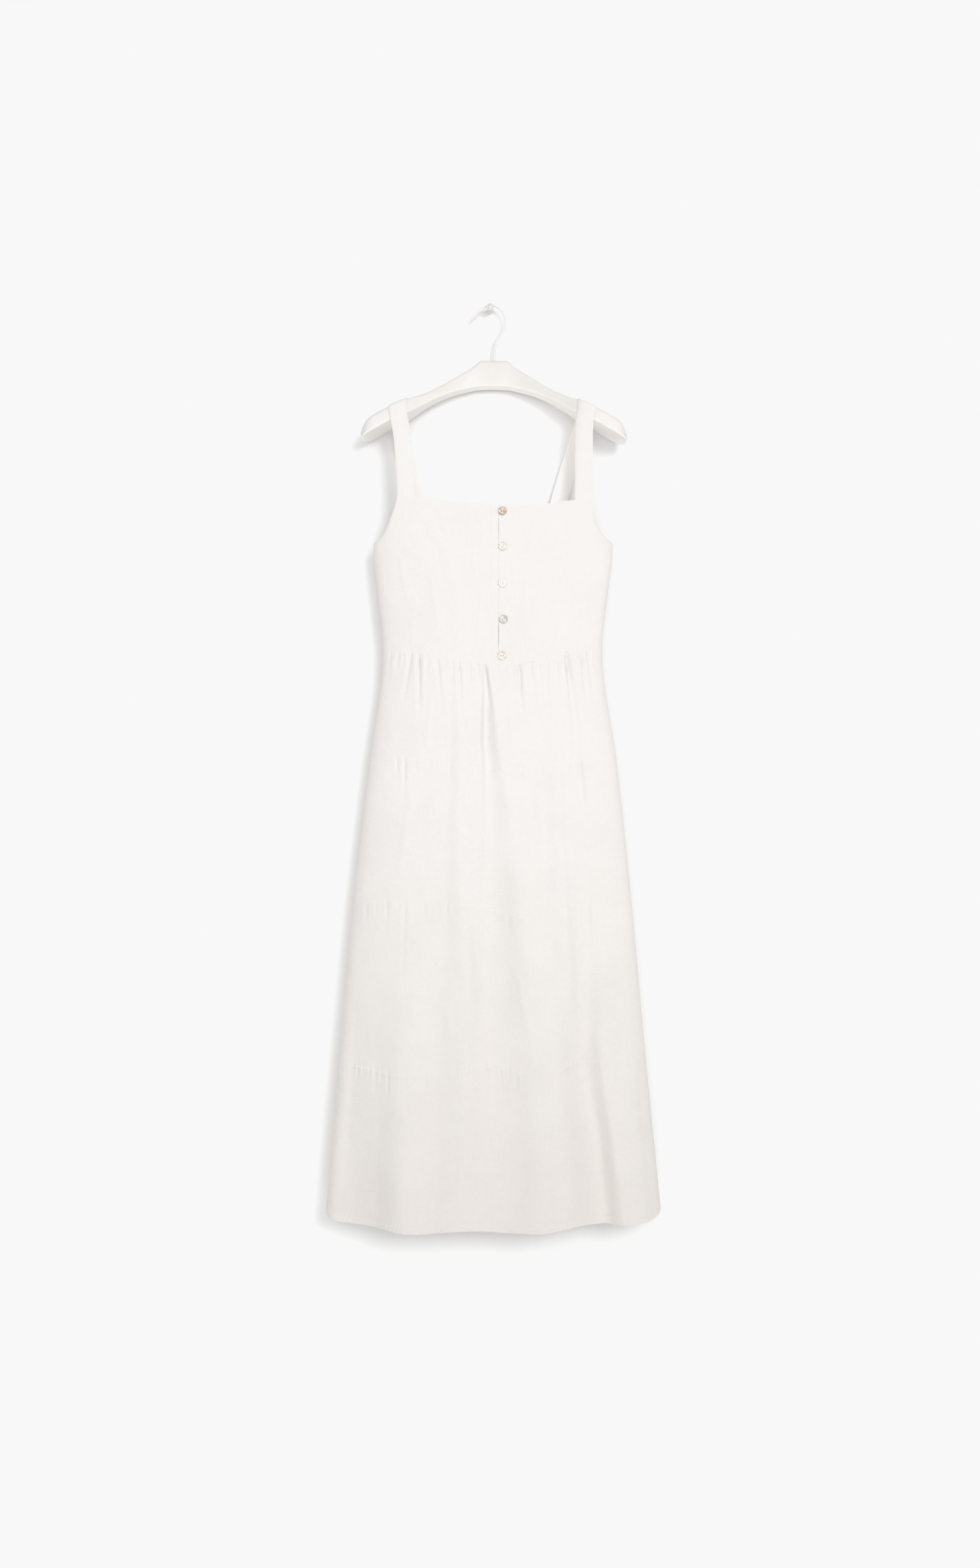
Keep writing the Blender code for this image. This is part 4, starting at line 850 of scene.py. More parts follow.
def cloth_between(outer, inner, flip, material, node):
    """A thin closed shell of cloth between two grids of points, in place of a node's solid."""
    name = f"cloth_{node}"
    faces = shell_faces(outer.shape[0], outer.shape[1], flip)
    mesh = mesh_from(name, np.concatenate([outer.reshape(-1, 3), inner.reshape(-1, 3)]), faces)
    return add_piece(name, mesh, material, (node,))


def cloth_shell(side, outer, thick, material, node):
    """A thin closed shell of cloth under a grid of outer points."""
    return cloth_between(outer, outer - grid_normals(side, outer) * thick, side == BACK, material, node)


def places_across(spacing, half, both_sides=True):
    """Places from -1 to 1, evenly spaced but for more of them where the section turns round a side."""
    reach = SIDE_PLACES[-1]
    count = int(2 * (1 - reach) * half / spacing)
    left = [-1.0] + [-1 + place for place in SIDE_PLACES]
    right = [1 - place for place in reversed(SIDE_PLACES)] + [1.0] if both_sides else [1.0]
    middle = np.linspace(left[-1], right[0], count)[1:-1]
    return np.concatenate([left, middle, right])


def rows_down(height, spacing):
    """Shares of a panel's height for its rows, with more of them at the top and the bottom edge."""
    edge = np.array(EDGE_ROWS) / height
    count = int((height - 2 * EDGE_ROWS[-1]) / spacing)
    return np.concatenate([edge, np.linspace(edge[-1], 1 - edge[-1], count)[1:-1], 1 - edge[::-1]])


# Skirt
def back_gathers(number, left, right):
    """Gathers of a hidden back seam, unevenly spaced and sized by three waves of their own pace."""
    plan = BACK_GATHERS[number]
    made = []
    for k in range(plan.count):
        shift = UNEVEN_PLACE.added * math.sin(UNEVEN_PLACE.pace * k + number)
        place = (k + UNEVEN_PLACE.least + shift) / plan.count
        x = between(left, right, between(BACK_GATHER_MARGIN, 1 - BACK_GATHER_MARGIN, place))
        size = UNEVEN_SIZE.least + UNEVEN_SIZE.added * math.sin(UNEVEN_SIZE.pace * k + 2 * number) ** 2
        share = UNEVEN_LENGTH.least + UNEVEN_LENGTH.added * math.sin(UNEVEN_LENGTH.pace * k + number) ** 2
        made.append(Gather(x, x * BACK_GATHER_SPREAD, plan.rise * size, plan.reach, plan.length * share))
    return tuple(made)


def uneven_wave(x, pitch, phase):
    """A wave along a seam whose pitch and height both wander."""
    turns = x / pitch
    for number, shift in enumerate(PITCH_SHIFTS, start=1):
        turns = turns + shift.turns * np.sin(x / shift.span + number * phase)
    slow, fast = PUCKER_SPANS
    height = PUCKER_KEPT + PUCKER_ADDED * np.sin(x / slow + 3 * phase) * np.sin(x / fast + phase)
    return height * np.sin(2 * math.pi * turns)


def seam_gathers(number, side):
    """Gathers of the seam at the top of a tier."""
    if side == FRONT:
        return FRONT_GATHERS[number]
    seam = SEAMS[number]
    mean = sum(row.down for row in seam) / len(seam)
    left = float(read(SECTIONS, "left", mean))
    right = float(read(SECTIONS, "right", mean))
    return back_gathers(number, left, right)


def seam_rise(number, side, x, below):
    """Rise near the seam at the top of a tier: its ridge, and gathers and puckers that end in it.

    Above the seam, where below is negative, the gathers pull on the upper cloth for a short way.
    """
    form = SEAM_FORMS[number]
    under = np.maximum(below, 0.0)
    pull = np.exp(np.minimum(below, 0.0) / PULL_ABOVE)
    rise = gather_rise(seam_gathers(number, side), x, under) * pull
    pucker = form.pucker * uneven_wave(x, form.pitch, number + side) * np.exp(-under / form.pucker_length)
    rise += pucker * pull
    return rise + form.ridge * smooth(under / form.ridge_reach) * np.exp(-under / RIDGE_FALL)


def tier_rise(number, side, x, down, below, above):
    """Rise of a tier's cloth over its folds: its seams, its creases and crumple, and the last one's hem."""
    rise = seam_rise(number, side, x, below)
    rise += crumple_rise(SKIRT_CRUMPLE, x + side, down)
    if side == FRONT:
        rise += crease_rise(SKIRT_CREASES, x, down)
    if number == LAST_TIER:
        band = smooth((HEM_BAND - above) / HEM_BAND_EDGE)
        groove = np.exp(-((above - HEM_BAND) / HEM_GROOVE_REACH) ** 2)
        rise += HEM_BAND_RISE * band - HEM_GROOVE * groove
        wave = uneven_wave(x - HEM_PUCKER_SLANT * above, HEM_PUCKER_PITCH, HEM_PUCKER_PHASE + side)
        rise += HEM_PUCKER_RISE * wave * np.exp(-((above - HEM_BAND / 2) / HEM_BAND) ** 2)
    else:
        rise += seam_rise(number + 1, side, x, -above)
    return rise


def tier_points(number, side, across, level):
    """Points of one tier for places across and shares of its height."""
    top = seam_level(SEAMS[number], across)
    bottom = seam_level(SEAMS[number + 1], across)
    down = between(top, bottom, level)
    middle, half = middle_and_half(down)
    x = middle + half * across
    rise = tier_rise(number, side, x, down, down - top, bottom - down)
    return garment_points(side, across, down, rise)


def build_skirt(material):
    for number in range(len(SEAMS) - 1):
        for side, word in ((FRONT, "front"), (BACK, "back")):
            column = FINE_COLUMN if side == FRONT else COARSE_COLUMN
            row = FINE_ROW if side == FRONT else COARSE_ROW
            height = SEAMS[number + 1][0].down - SEAMS[number][0].down
            _, half = middle_and_half(SEAMS[number + 1][0].down)
            across, level = np.meshgrid(places_across(column, float(half)), rows_down(height, row))
            outer = tier_points(number, side, across, level)
            node = f"skirt_tier_{number + 1}_{word}"
            piece = cloth_shell(side, outer, SKIRT_THICK, material, node)


# Bodice
def slit_half_width(down):
    width = np.full_like(down, SLIT_CLOSED)
    for opening in SLIT_OPENINGS:
        distance = np.minimum(np.abs(down - opening.down) / opening.reach, 1.0)
        width += opening.width * (1 + np.cos(math.pi * distance)) / 2
    return width / 2


def bodice_rise(side, x, down, above):
    rise = crumple_rise(BODICE_CRUMPLE, x + side, down)
    rise += seam_rise(0, side, x, -above)
    if side == FRONT:
        rise += crease_rise(BODICE_CREASES, x, down)
        band = smooth((x - PLACKET_LEFT) / BAND_EDGE) * smooth((PLACKET_RIGHT - x) / BAND_EDGE)
        rise += BAND_RISE * band * smooth((PLACKET_END - down) / BAND_EDGE)
    return rise


def bodice_points(side, x_or_across, down, by_x=True):
    """Points of the bodice at places given by x, or by how far across they lie."""
    across = across_at(x_or_across, down) if by_x else x_or_across
    middle, half = middle_and_half(down)
    x = middle + half * across
    rise = bodice_rise(side, x, down, seam_level(WAIST, across) - down)
    return garment_points(side, across, down, rise)


def bodice_grid(side, left_edge, right_edge, shares, levels):
    """Grid of a bodice panel between two edges, each a function of the level."""
    share, level = np.meshgrid(shares, levels)
    down = np.full_like(share, BODICE_MIDDLE)
    for _ in range(FITTING_ROUNDS):
        across = between(left_edge(down), right_edge(down), share)
        top = seam_level(NECKLINE, across)
        bottom = seam_level(WAIST, across)
        down = between(top, bottom, level)
    return bodice_points(side, across, down, by_x=False)


def left_side(down):
    return np.full_like(down, -1.0)


def right_side(down):
    return np.full_like(down, 1.0)


def left_of_slit(down):
    return across_at(SLIT_X - slit_half_width(down), down)


def right_of_slit(down):
    return across_at(SLIT_X + slit_half_width(down), down)


def build_bodice(material):
    fine = (places_across(FINE_COLUMN, BODICE_FRONT_HALF, both_sides=False) + 1) / 2
    coarse = (places_across(COARSE_COLUMN, BODICE_BACK_HALF) + 1) / 2
    panels = (
        ("bodice_front_left", FRONT, left_side, left_of_slit, fine, FINE_ROW),
        ("bodice_front_right", FRONT, right_of_slit, right_side, 1 - fine[::-1], FINE_ROW),
        ("bodice_back", BACK, left_side, right_side, coarse, COARSE_ROW),
    )
    for name, side, left_edge, right_edge, shares, row in panels:
        outer = bodice_grid(side, left_edge, right_edge, shares, rows_down(BODICE_HEIGHT, row))
        piece = cloth_shell(side, outer, BODICE_THICK, material, name)


def build_button_stand(material):
    levels = np.linspace(STAND_TOP, STAND_BOTTOM, STAND_ROWS)
    places = np.linspace(STAND_LEFT, STAND_RIGHT, STAND_COLUMNS)
    down, x = np.meshgrid(levels, places, indexing="ij")
    outer = garment_points(FRONT, across_at(x, down), down, np.zeros_like(x))
    outer[:, :, 1] += BODICE_THICK + SEAM_GAP * 2
    piece = cloth_shell(FRONT, outer, SKIRT_THICK, material, "button_stand")


# Straps
def hanger_section(x):
    """Top, bottom, front and back of the hanger at x, as coordinates, with its two corner radii."""
    out = abs(x - HANGER_X)
    tilt = math.tan(HANGER_TILT) * (x - HANGER_X)
    top = -(float(read(HANGER, "top", out)) + tilt)
    bottom = -(float(read(HANGER, "bottom", out)) + tilt)
    front = -float(read(HANGER, "front", out))
    back = -float(read(HANGER, "back", out))
    most = ROUND_SHARE * min(top - bottom, back - front)
    return top, bottom, front, back, min(HANGER_TOP_ROUND, most), min(HANGER_BOTTOM_ROUND, most)


def corner(y, z, radius, start, steps):
    """Points of a quarter circle in the plane of y and z, from the start angle on."""
    angles = [start + math.pi / 2 * k / steps for k in range(steps + 1)]
    return [(y + radius * math.cos(angle), z + radius * math.sin(angle)) for angle in angles]


def strap_side(path, side, offset, lift, shoulder, wood):
    """Points up one side of a strap, from its seam with the bodice to just below the hanger's shoulder."""
    x = path[-1].x + offset
    foot = path[-1].down
    for _ in range(FITTING_ROUNDS):
        foot = float(seam_level(NECKLINE, across_at(x, foot)))
    flat = bodice_points(side, np.array(x), np.array(foot))
    cloth = float(flat[1]) - side * (STRAP_THICK - lift)
    points = []
    for rise in np.linspace(0.0, STRAP_TOP, STRAP_STATIONS):
        down = between(foot, shoulder, rise)
        here = x if rise == 0 else float(read(path, "x", down)) + offset
        sway = math.sin(STRAP_WAVE_PACE * rise + STRAP_WAVE_ACROSS * offset)
        wave = STRAP_WAVE * sway * math.sin(math.pi * rise)
        points.append((here, between(cloth, wood, rise) + side * wave, -down))
    return points


def strap_line(strap, offset, lift):
    """One line along a strap, front seam to back seam over the hanger, at a lift off its inner face."""
    x_top = strap.top_x + offset
    top, _, front, back, high, _ = hanger_section(x_top)
    off_wood = SEAM_GAP + lift
    shoulder = high - top
    rounded = corner(back - high, -shoulder, high + off_wood, 0.0, STRAP_CORNER_STEPS)
    rounded += corner(front + high, -shoulder, high + off_wood, math.pi / 2, STRAP_CORNER_STEPS)
    over = [(x_top, y, z) for y, z in reversed(rounded)]
    up = strap_side(strap.front, FRONT, offset, lift, shoulder, front - off_wood)
    down = strap_side(strap.back, BACK, offset, lift, shoulder, back + off_wood)
    return up + over + list(reversed(down))


def build_straps(material, thread):
    for strap in STRAPS:
        shares = np.sin(np.linspace(-math.pi / 2, math.pi / 2, STRAP_COLUMNS))
        offsets = STRAP_WIDTH / 2 * shares
        edge = STRAP_EDGE_DROP * np.abs(shares) ** STRAP_EDGE_POWER
        outer = np.array([strap_line(strap, o, STRAP_THICK - e) for o, e in zip(offsets, edge)])
        inner = np.array([strap_line(strap, o, e) for o, e in zip(offsets, edge)])
        piece = cloth_between(outer.transpose(1, 0, 2), inner.transpose(1, 0, 2), True, material, strap.name)
        stitches = []
        for end in (-1, 1):
            offset = end * (STRAP_WIDTH / 2 - STRAP_STITCH_INSET)
            line = np.array(strap_line(strap, offset, STRAP_THICK))
            stitches.append(stitch_row(line, line_normals(line), TOPSTITCH))
        add_thread(f"thread_{strap.name}", stitches, thread)


# Stitching
def resample(line, step):
    """Points at even steps along a line, and their distances along it."""
    length = np.concatenate([[0.0], np.cumsum(np.linalg.norm(np.diff(line, axis=0), axis=1))])
    at = np.arange(step / 2, length[-1], step)
    return np.stack([np.interp(at, length, line[:, k]) for k in range(3)], 1), at, length


def line_normals(line):
    """Normals of a line that bends in a plane of one x, pointing out of the bend."""
    along = np.gradient(line, axis=0)
    normal = np.cross(along, np.array([1.0, 0.0, 0.0]))
    return normal / np.linalg.norm(normal, axis=1, keepdims=True)


def stitch_row(line, normals, stitch):
    """Points and faces of a row of thread stitches that lie along a line on the cloth."""
    centres, at, length = resample(line, stitch.length + stitch.gap)
    up = np.stack([np.interp(at, length, normals[:, k]) for k in range(3)], 1)
    up /= np.linalg.norm(up, axis=1, keepdims=True)
    tangent = np.gradient(centres, axis=0)
    tangent -= up * (tangent * up).sum(1, keepdims=True)
    tangent /= np.linalg.norm(tangent, axis=1, keepdims=True)
    beside = np.cross(up, tangent)
    points = []
    for run, size in STITCH_RINGS:
        for k in range(STITCH_SIDES):
            angle = 2 * math.pi * k / STITCH_SIDES
            radius = stitch.thick / 2 * size
            points.append(
                centres + tangent * (run * stitch.length)
                + beside * (radius * math.cos(angle)) + up * (radius * math.sin(angle))
            )
    points = np.stack(points, 1)
    single = tube_faces(len(STITCH_RINGS), STITCH_SIDES)
    count = points.shape[1]
    faces = [[i + n * count for i in face] for n in range(len(centres)) for face in single]
    return points.reshape(-1, 3), faces


def tube_faces(rings, sides):
    """Faces of a closed tube of rings of points, with a flat cap at each end."""
    faces = []
    for r in range(rings - 1):
        for k in range(sides):
            n = (k + 1) % sides
            faces.append([r * sides + k, r * sides + n, (r + 1) * sides + n, (r + 1) * sides + k])
    faces.append(list(range(sides))[::-1])
    faces.append([(rings - 1) * sides + k for k in range(sides)])
    return faces


def joined(parts):
    points = []
    faces = []
    for part_points, part_faces in parts:
        start = len(points)
        points.extend(part_points)
        faces.extend([[i + start for i in face] for face in part_faces])
    return points, faces


def add_thread(name, parts, thread, place=None):
    """One piece made of parts of thread, such as rows of stitches or a button's strands."""
    mesh = mesh_from(name, *joined(parts))
    if place is not None:
        mesh.transform(place)
    add_piece(name, mesh, thread)


def cloth_normals(line, beside, below, side):
    """Normals of the cloth along a line on it, from the same line a small step beside it and below it."""
    normal = np.cross(beside - line, below - line) * side
    return normal / np.linalg.norm(normal, axis=1, keepdims=True)


def on_bodice(x, down):
    """A line of points on the bodice's front and its normals, from arrays of x and level."""
    line = bodice_points(FRONT, x, down)
    beside = bodice_points(FRONT, x + PROBE, down)
    return line, cloth_normals(line, beside, bodice_points(FRONT, x, down + PROBE), FRONT)


def build_stitching(thread):
    down = np.linspace(PLACKET_TOP, PLACKET_END, PLACKET_STEPS)
    x = np.linspace(PLACKET_LEFT, PLACKET_END_RIGHT, PLACKET_END_STEPS)
    lines = (
        (np.full_like(down, PLACKET_LEFT), down),
        (np.full_like(down, PLACKET_RIGHT - PLACKET_STITCH_INSET), down),
        (x, np.full_like(x, PLACKET_END)),
    )
    add_thread("thread_placket", [stitch_row(*on_bodice(*line), TOPSTITCH) for line in lines], thread)
    across = np.linspace(-HEM_STITCH_REACH, HEM_STITCH_REACH, HEM_STITCH_STEPS)
    level = 1 - HEM_BAND / (seam_level(HEM, across) - seam_level(SEAM_FOUR, across))
    for side, word in ((FRONT, "front"), (BACK, "back")):
        line = tier_points(LAST_TIER, side, across, level)
        beside = tier_points(LAST_TIER, side, across + PROBE_ACROSS, level)
        below = tier_points(LAST_TIER, side, across, level + PROBE_DOWN)
        row = stitch_row(line, cloth_normals(line, beside, below, side), TOPSTITCH)
        add_thread(f"thread_hem_{word}", [row], thread)


# Turned and swept shapes
def turned(profile, sides):
    """Points and faces turned round Z from rows of radius and height."""
    points = []
    for radius, height in profile:
        for k in range(sides):
            angle = 2 * math.pi * k / sides
            points.append((radius * math.cos(angle), radius * math.sin(angle), height))
    return points, tube_faces(len(profile), sides)


def smooth_line(points, steps):
    """Points along a smooth curve through the given points."""
    made = []
    for k in range(len(points) - 1):
        before = points[max(k - 1, 0)]
        start, end = points[k], points[k + 1]
        after = points[min(k + 2, len(points) - 1)]
        for step in range(steps):
            t = step / steps
            made.append(
                start + (end - before) * (t / 2)
                + (before * 2 - start * 5 + end * 4 - after) * (t * t / 2)
                + (start * 3 - before - end * 3 + after) * (t ** 3 / 2)
            )
    return made + [points[-1]]


def sweep(line, radius, sides):
    """Points and faces of a tube along a line, its ends closed."""
    rings = []
    reference = Vector((0.0, 1.0, 0.0))
    for k, point in enumerate(line):
        along = (line[min(k + 1, len(line) - 1)] - line[max(k - 1, 0)]).normalized()
        beside = along.cross(reference)
        if beside.length < SWEEP_LEAST:
            beside = along.cross(Vector((0.0, 0.0, 1.0)))
        beside.normalize()
        up = beside.cross(along)
        size = radius * (SWEEP_END if k in (0, len(line) - 1) else 1.0)
        for side in range(sides):
            angle = 2 * math.pi * side / sides
            rings.append(point + (beside * math.cos(angle) + up * math.sin(angle)) * size)
    return [tuple(point) for point in rings], tube_faces(len(line), sides)


# Buttons
def button_blank():
    """A button's solid before its holes, its back on the plane z = 0."""
    centre = BUTTON_THICK - BUTTON_DISH
    profile = [(BUTTON_CENTRE_RADIUS, 0.0), (BUTTON_RADIUS - BUTTON_EDGE, 0.0)]
    for k in range(BUTTON_EDGE_STEPS + 1):
        angle = -math.pi / 2 + math.pi * k / BUTTON_EDGE_STEPS
        radius = BUTTON_RADIUS - BUTTON_EDGE + BUTTON_EDGE * math.cos(angle)
        profile.append((radius, BUTTON_THICK / 2 * (1 + math.sin(angle))))
    for k in range(1, BUTTON_DISH_STEPS + 1):
        share = k / BUTTON_DISH_STEPS
        radius = between(BUTTON_RADIUS - BUTTON_RIM, BUTTON_DISH_RADIUS, share)
        profile.append((radius, BUTTON_THICK - BUTTON_DISH * share * share * (3 - 2 * share)))
    profile += [(BUTTON_DISH_RADIUS / 2, centre), (BUTTON_CENTRE_RADIUS, centre)]
    return turned(profile, BUTTON_SIDES)


def button_mesh():
    """A button with its two holes cut through it, each bevelled at its mouth."""
    blank = add_object("button_blank", mesh_from("button_blank", *button_blank()))
    profile = (
        (BUTTON_HOLE_RADIUS, -BUTTON_THICK),
        (BUTTON_HOLE_RADIUS, BUTTON_THICK - BUTTON_DISH - HOLE_BEVEL_DEPTH),
        (BUTTON_HOLE_RADIUS * HOLE_BEVEL_SPREAD, BUTTON_THICK + HOLE_BEVEL_ABOVE),
    )
    cutters = []
    for step in (-1, 1):
        points, faces = turned(profile, HOLE_SIDES)
        points = [(x + step * BUTTON_HOLE_PITCH / 2, y, z) for x, y, z in points]
        cutter = add_object("hole", mesh_from("hole", points, faces))
        cut = blank.modifiers.new("hole", "BOOLEAN")
        cut.operation = "DIFFERENCE"
        cut.object = cutter
        cutters.append(cutter)
    shape = blank.evaluated_get(bpy.context.evaluated_depsgraph_get())
    mesh = bpy.data.meshes.new_from_object(shape)
    mesh.shade_smooth()
    mesh.set_sharp_from_angle(angle=SHARP_BUTTON)
    for helper in cutters + [blank]:
        bpy.data.objects.remove(helper)
    return mesh


def sewing_thread():
    """Two strands of thread over a button, each from hole to hole."""
    strands = []
    for beside in (-STRAND_APART, STRAND_APART):
        line = []
        for k in range(STRAND_STEPS + 1):
            t = -1 + 2 * k / STRAND_STEPS
            dip = STRAND_DIP * max(0.0, abs(t) - STRAND_DIP_AT) / (1 - STRAND_DIP_AT)
            height = BUTTON_THICK - BUTTON_DISH + STRAND_RISE - dip
            line.append(Vector((BUTTON_HOLE_PITCH / 2 * t, beside, height)))
        strands.append(sweep(line, STRAND_RADIUS, STRAND_SIDES))
    return strands


def build_buttons(thread):
    shared = button_mesh()
    face_out = Matrix.Rotation(math.pi / 2, 4, "X")
    for number, button in enumerate(BUTTONS, start=1):
        seat, normal = on_bodice(np.array([button.x]), np.array([button.down]))
        lift = Vector(normal[0]) * SEAM_GAP
        turn = Matrix.Rotation(button.turn, 4, "Z")
        place = Matrix.Translation(Vector(seat[0]) + lift) @ face_out @ turn
        mesh = shared.copy()
        mesh.transform(place)
        name = f"pearl_button_{number}"
        add_piece(name, mesh, pearl(name, button), (f"button_{number}",))
        add_thread(f"thread_button_{number}", sewing_thread(), thread, place)
        loop = sweep(button_loop(button, float(seat[0][1])), LOOP_RADIUS, LOOP_SIDES)
        add_thread(f"button_loop_{number}", [loop], thread)


def button_loop(button, seat_y):
    """The cord loop that leaves the slit's edge and passes round under the button."""
    reach = BUTTON_RADIUS * LOOP_REACH
    foot = SLIT_X - SLIT_CLOSED - LOOP_INSET
    line = [Vector((foot, seat_y - LOOP_FOOT_OUT, -button.down + LOOP_FOOT_HALF))]
    for k in range(LOOP_STEPS + 1):
        angle = math.pi / 2 - math.pi * k / LOOP_STEPS
        x = button.x - LOOP_BACK + reach * math.cos(angle)
        line.append(Vector((x, seat_y - LOOP_OUT, -button.down + LOOP_HALF * math.sin(angle))))
    line.append(Vector((foot, seat_y - LOOP_FOOT_OUT, -button.down - LOOP_FOOT_HALF)))
    return line


# Hanger, hook and peg
def hanger_ring(x):
    top, bottom, front, back, high, low = hanger_section(x)
    centres = (
        (back - high, top - high, high), (front + high, top - high, high),
        (front + low, bottom + low, low), (back - low, bottom + low, low),
    )
    outline = []
    for quarter, (y, z, radius) in enumerate(centres):
        outline += corner(y, z, radius, quarter * math.pi / 2, HANGER_CORNER_STEPS)
    return [(x, y, z) for y, z in outline]


def end_cap(ring):
    """Rings that close a hanger's end with a rounded nose."""
    centre = np.mean(ring, axis=0)
    rings = []
    nose = math.copysign(HANGER_NOSE, centre[0])
    for k in range(1, NOSE_STEPS + 1):
        angle = math.pi / 2 * k / NOSE_STEPS
        share = max(math.cos(angle), NOSE_FLAT)
        moved = centre + (np.array(ring) - centre) * share
        moved[:, 0] += nose * math.sin(angle)
        rings.append([tuple(point) for point in moved])
    return rings


def build_hanger(material):
    reach = HANGER[-1].out
    count = int(2 * reach / HANGER_STEP)
    angles = np.linspace(-math.pi / 2, math.pi / 2, count)
    even = angles / (math.pi / 2)
    places = HANGER_X + reach * between(even, np.sin(angles), HANGER_CROWDING)
    rings = [hanger_ring(float(x)) for x in places]
    rings = list(reversed(end_cap(rings[0]))) + rings + end_cap(rings[-1])
    faces = tube_faces(len(rings), len(rings[0]))
    mesh = mesh_from("hanger_wood", rings, faces, SHARP_SOLID)
    add_piece("hanger_wood", mesh, material, ("hanger_body",))


def build_hook(material):
    line = smooth_line([Vector((row.x, -HOOK_OUT, -row.down)) for row in HOOK_LINE], HOOK_STEPS)
    points, faces = sweep(line, HOOK_RADIUS, HOOK_SIDES)
    add_piece("hook_wire", mesh_from("hook_wire", points, faces), material, ("hanger_hook",))


def build_peg(material):
    points, faces = turned([(max(turn.radius, PEG_CENTRE_RADIUS), turn.out) for turn in PEG], PEG_SIDES)
    mesh = mesh_from("peg_turned", points, faces, SHARP_SOLID)
    mesh.transform(Matrix.Rotation(math.pi / 2, 4, "X"))
    add_piece("peg_turned", mesh, material, ("wall_peg",))


# Materials
class Nodes:
    """A material's node tree, with short calls to add and link its nodes."""

    def __init__(self, name):
        self.material = bpy.data.materials.new(name)
        self.material.use_nodes = True
        self.tree = self.material.node_tree
        self.shader = self.tree.nodes["Principled BSDF"]

    def add(self, kind, inputs=(), **settings):
        """A node with its settings, and with values or other nodes' outputs put into its inputs."""
        node = self.tree.nodes.new(kind)
        for key, value in settings.items():
            setattr(node, key, value)
        for key, value in dict(inputs).items():
            self.put(value, node.inputs[key])
        return node

    def put(self, value, socket):
        """A value or another node's output into a socket. A colour is given without its alpha."""
        if isinstance(value, bpy.types.NodeSocket):
            self.tree.links.new(value, socket)
        elif socket.type == "RGBA":
            socket.default_value = (*value, 1.0)
        else:
            socket.default_value = value

    def math(self, operation, first, second=0.0):
        return self.add("ShaderNodeMath", {0: first, 1: second}, operation=operation).outputs[0]

    def clamped(self, value):
        return self.add("ShaderNodeClamp", {"Value": value}).outputs["Result"]

    def position(self, stretch=(1.0, 1.0, 1.0)):
        """Object coordinates in metres, times a stretch."""
        place = self.add("ShaderNodeTexCoord").outputs["Object"]
        return self.add("ShaderNodeMapping", {"Vector": place, "Scale": stretch}).outputs["Vector"]

    def split(self, vector):
        """The X, Y and Z outputs of a vector."""
        return self.add("ShaderNodeSeparateXYZ", {0: vector}).outputs

    def noise(self, marks):
        inputs = {
            "Vector": self.position(marks.stretch), "Scale": marks.scale, "Detail": marks.detail,
            "Roughness": marks.rough,
        }
        return self.add("ShaderNodeTexNoise", inputs).outputs["Fac"]

    def ramp(self, factor, first, last, low=0.0, high=1.0):
        """Colour from first to last as the factor runs from low to high."""
        node = self.add("ShaderNodeValToRGB", {"Fac": factor})
        for element, place, colour in zip(node.color_ramp.elements, (low, high), (first, last)):
            element.position = place
            element.color = (*colour, 1.0)
        return node.outputs["Color"]

    def mix(self, factor, first, second, blend="MIX"):
        inputs = {"Factor": factor, "A": first, "B": second}
        return self.add("ShaderNodeMix", inputs, data_type="RGBA", blend_type=blend).outputs["Result"]

    def bump(self, height, distance, strength, **over):
        """The surface's normal, moved by a height, over another normal if one is given."""
        inputs = {"Height": height, "Distance": distance, "Strength": strength, **over}
        return self.add("ShaderNodeBump", inputs).outputs["Normal"]

    def set(self, **values):
        """The finished material, with its shader's inputs named with underscores for spaces."""
        for name, value in values.items():
            self.put(value, self.shader.inputs[name.replace("_", " ")])
        return self.material


def linen(name, tones, inner=None):
    """Plain-woven linen: warp and weft threads, thicker slubs along both, and a soft nap. Its colour has a
    painted shade that darkens it towards the hem and, where an inner colour is given, painted light that
    pales it near the wall.
    """
    made = Nodes(name)
    place = made.split(made.position())
    bend = made.math("MULTIPLY", made.noise(THREAD_WANDER), THREAD_WAVER)
    turns = math.pi / THREAD_PITCH
    warp = made.math("SINE", made.math("ADD", made.math("MULTIPLY", place["X"], turns), bend))
    weft = made.math("SINE", made.math("ADD", made.math("MULTIPLY", place["Z"], turns), bend))
    slubs = made.math("ADD", made.noise(WEFT_SLUBS), made.noise(WARP_SLUBS))
    cloud = made.math("MULTIPLY", made.noise(LINEN_CLOUD), CLOUD_SHARE)
    tone = made.math("ADD", made.math("MULTIPLY", slubs, SLUB_SHARE), cloud)
    worn = made.ramp(tone, tones.deep, tones.pale, low=0.45, high=0.85)
    # Painted shade: the colour darkens towards the hem and fades out upwards
    height = made.math("ADD", place["Z"], PAINTED_HEM_SHADE_DOWN)
    low = made.ramp(height, PAINTED_HEM_SHADE, WHITE, high=PAINTED_HEM_SHADE_REACH)
    colour = made.mix(1.0, worn, low, "MULTIPLY")
    # Painted light: where the cloth lies near the wall, its colour turns to the paler, warmer inner one
    if inner:
        depth = made.math("ADD", place["Y"], PAINTED_LIGHT_DEPTH)
        colour = made.mix(made.clamped(made.math("MULTIPLY", depth, PAINTED_LIGHT_STEEPNESS)), colour, inner)
    weave = made.bump(made.math("MULTIPLY", warp, weft), distance=0.00006, strength=0.35)
    surface = made.bump(slubs, distance=0.00035, strength=0.30, Normal=weave)
    return made.set(
        Base_Color=colour, Roughness=0.88, Normal=surface, Sheen_Weight=0.12, Sheen_Roughness=0.5,
        Specular_IOR_Level=0.25,
    )


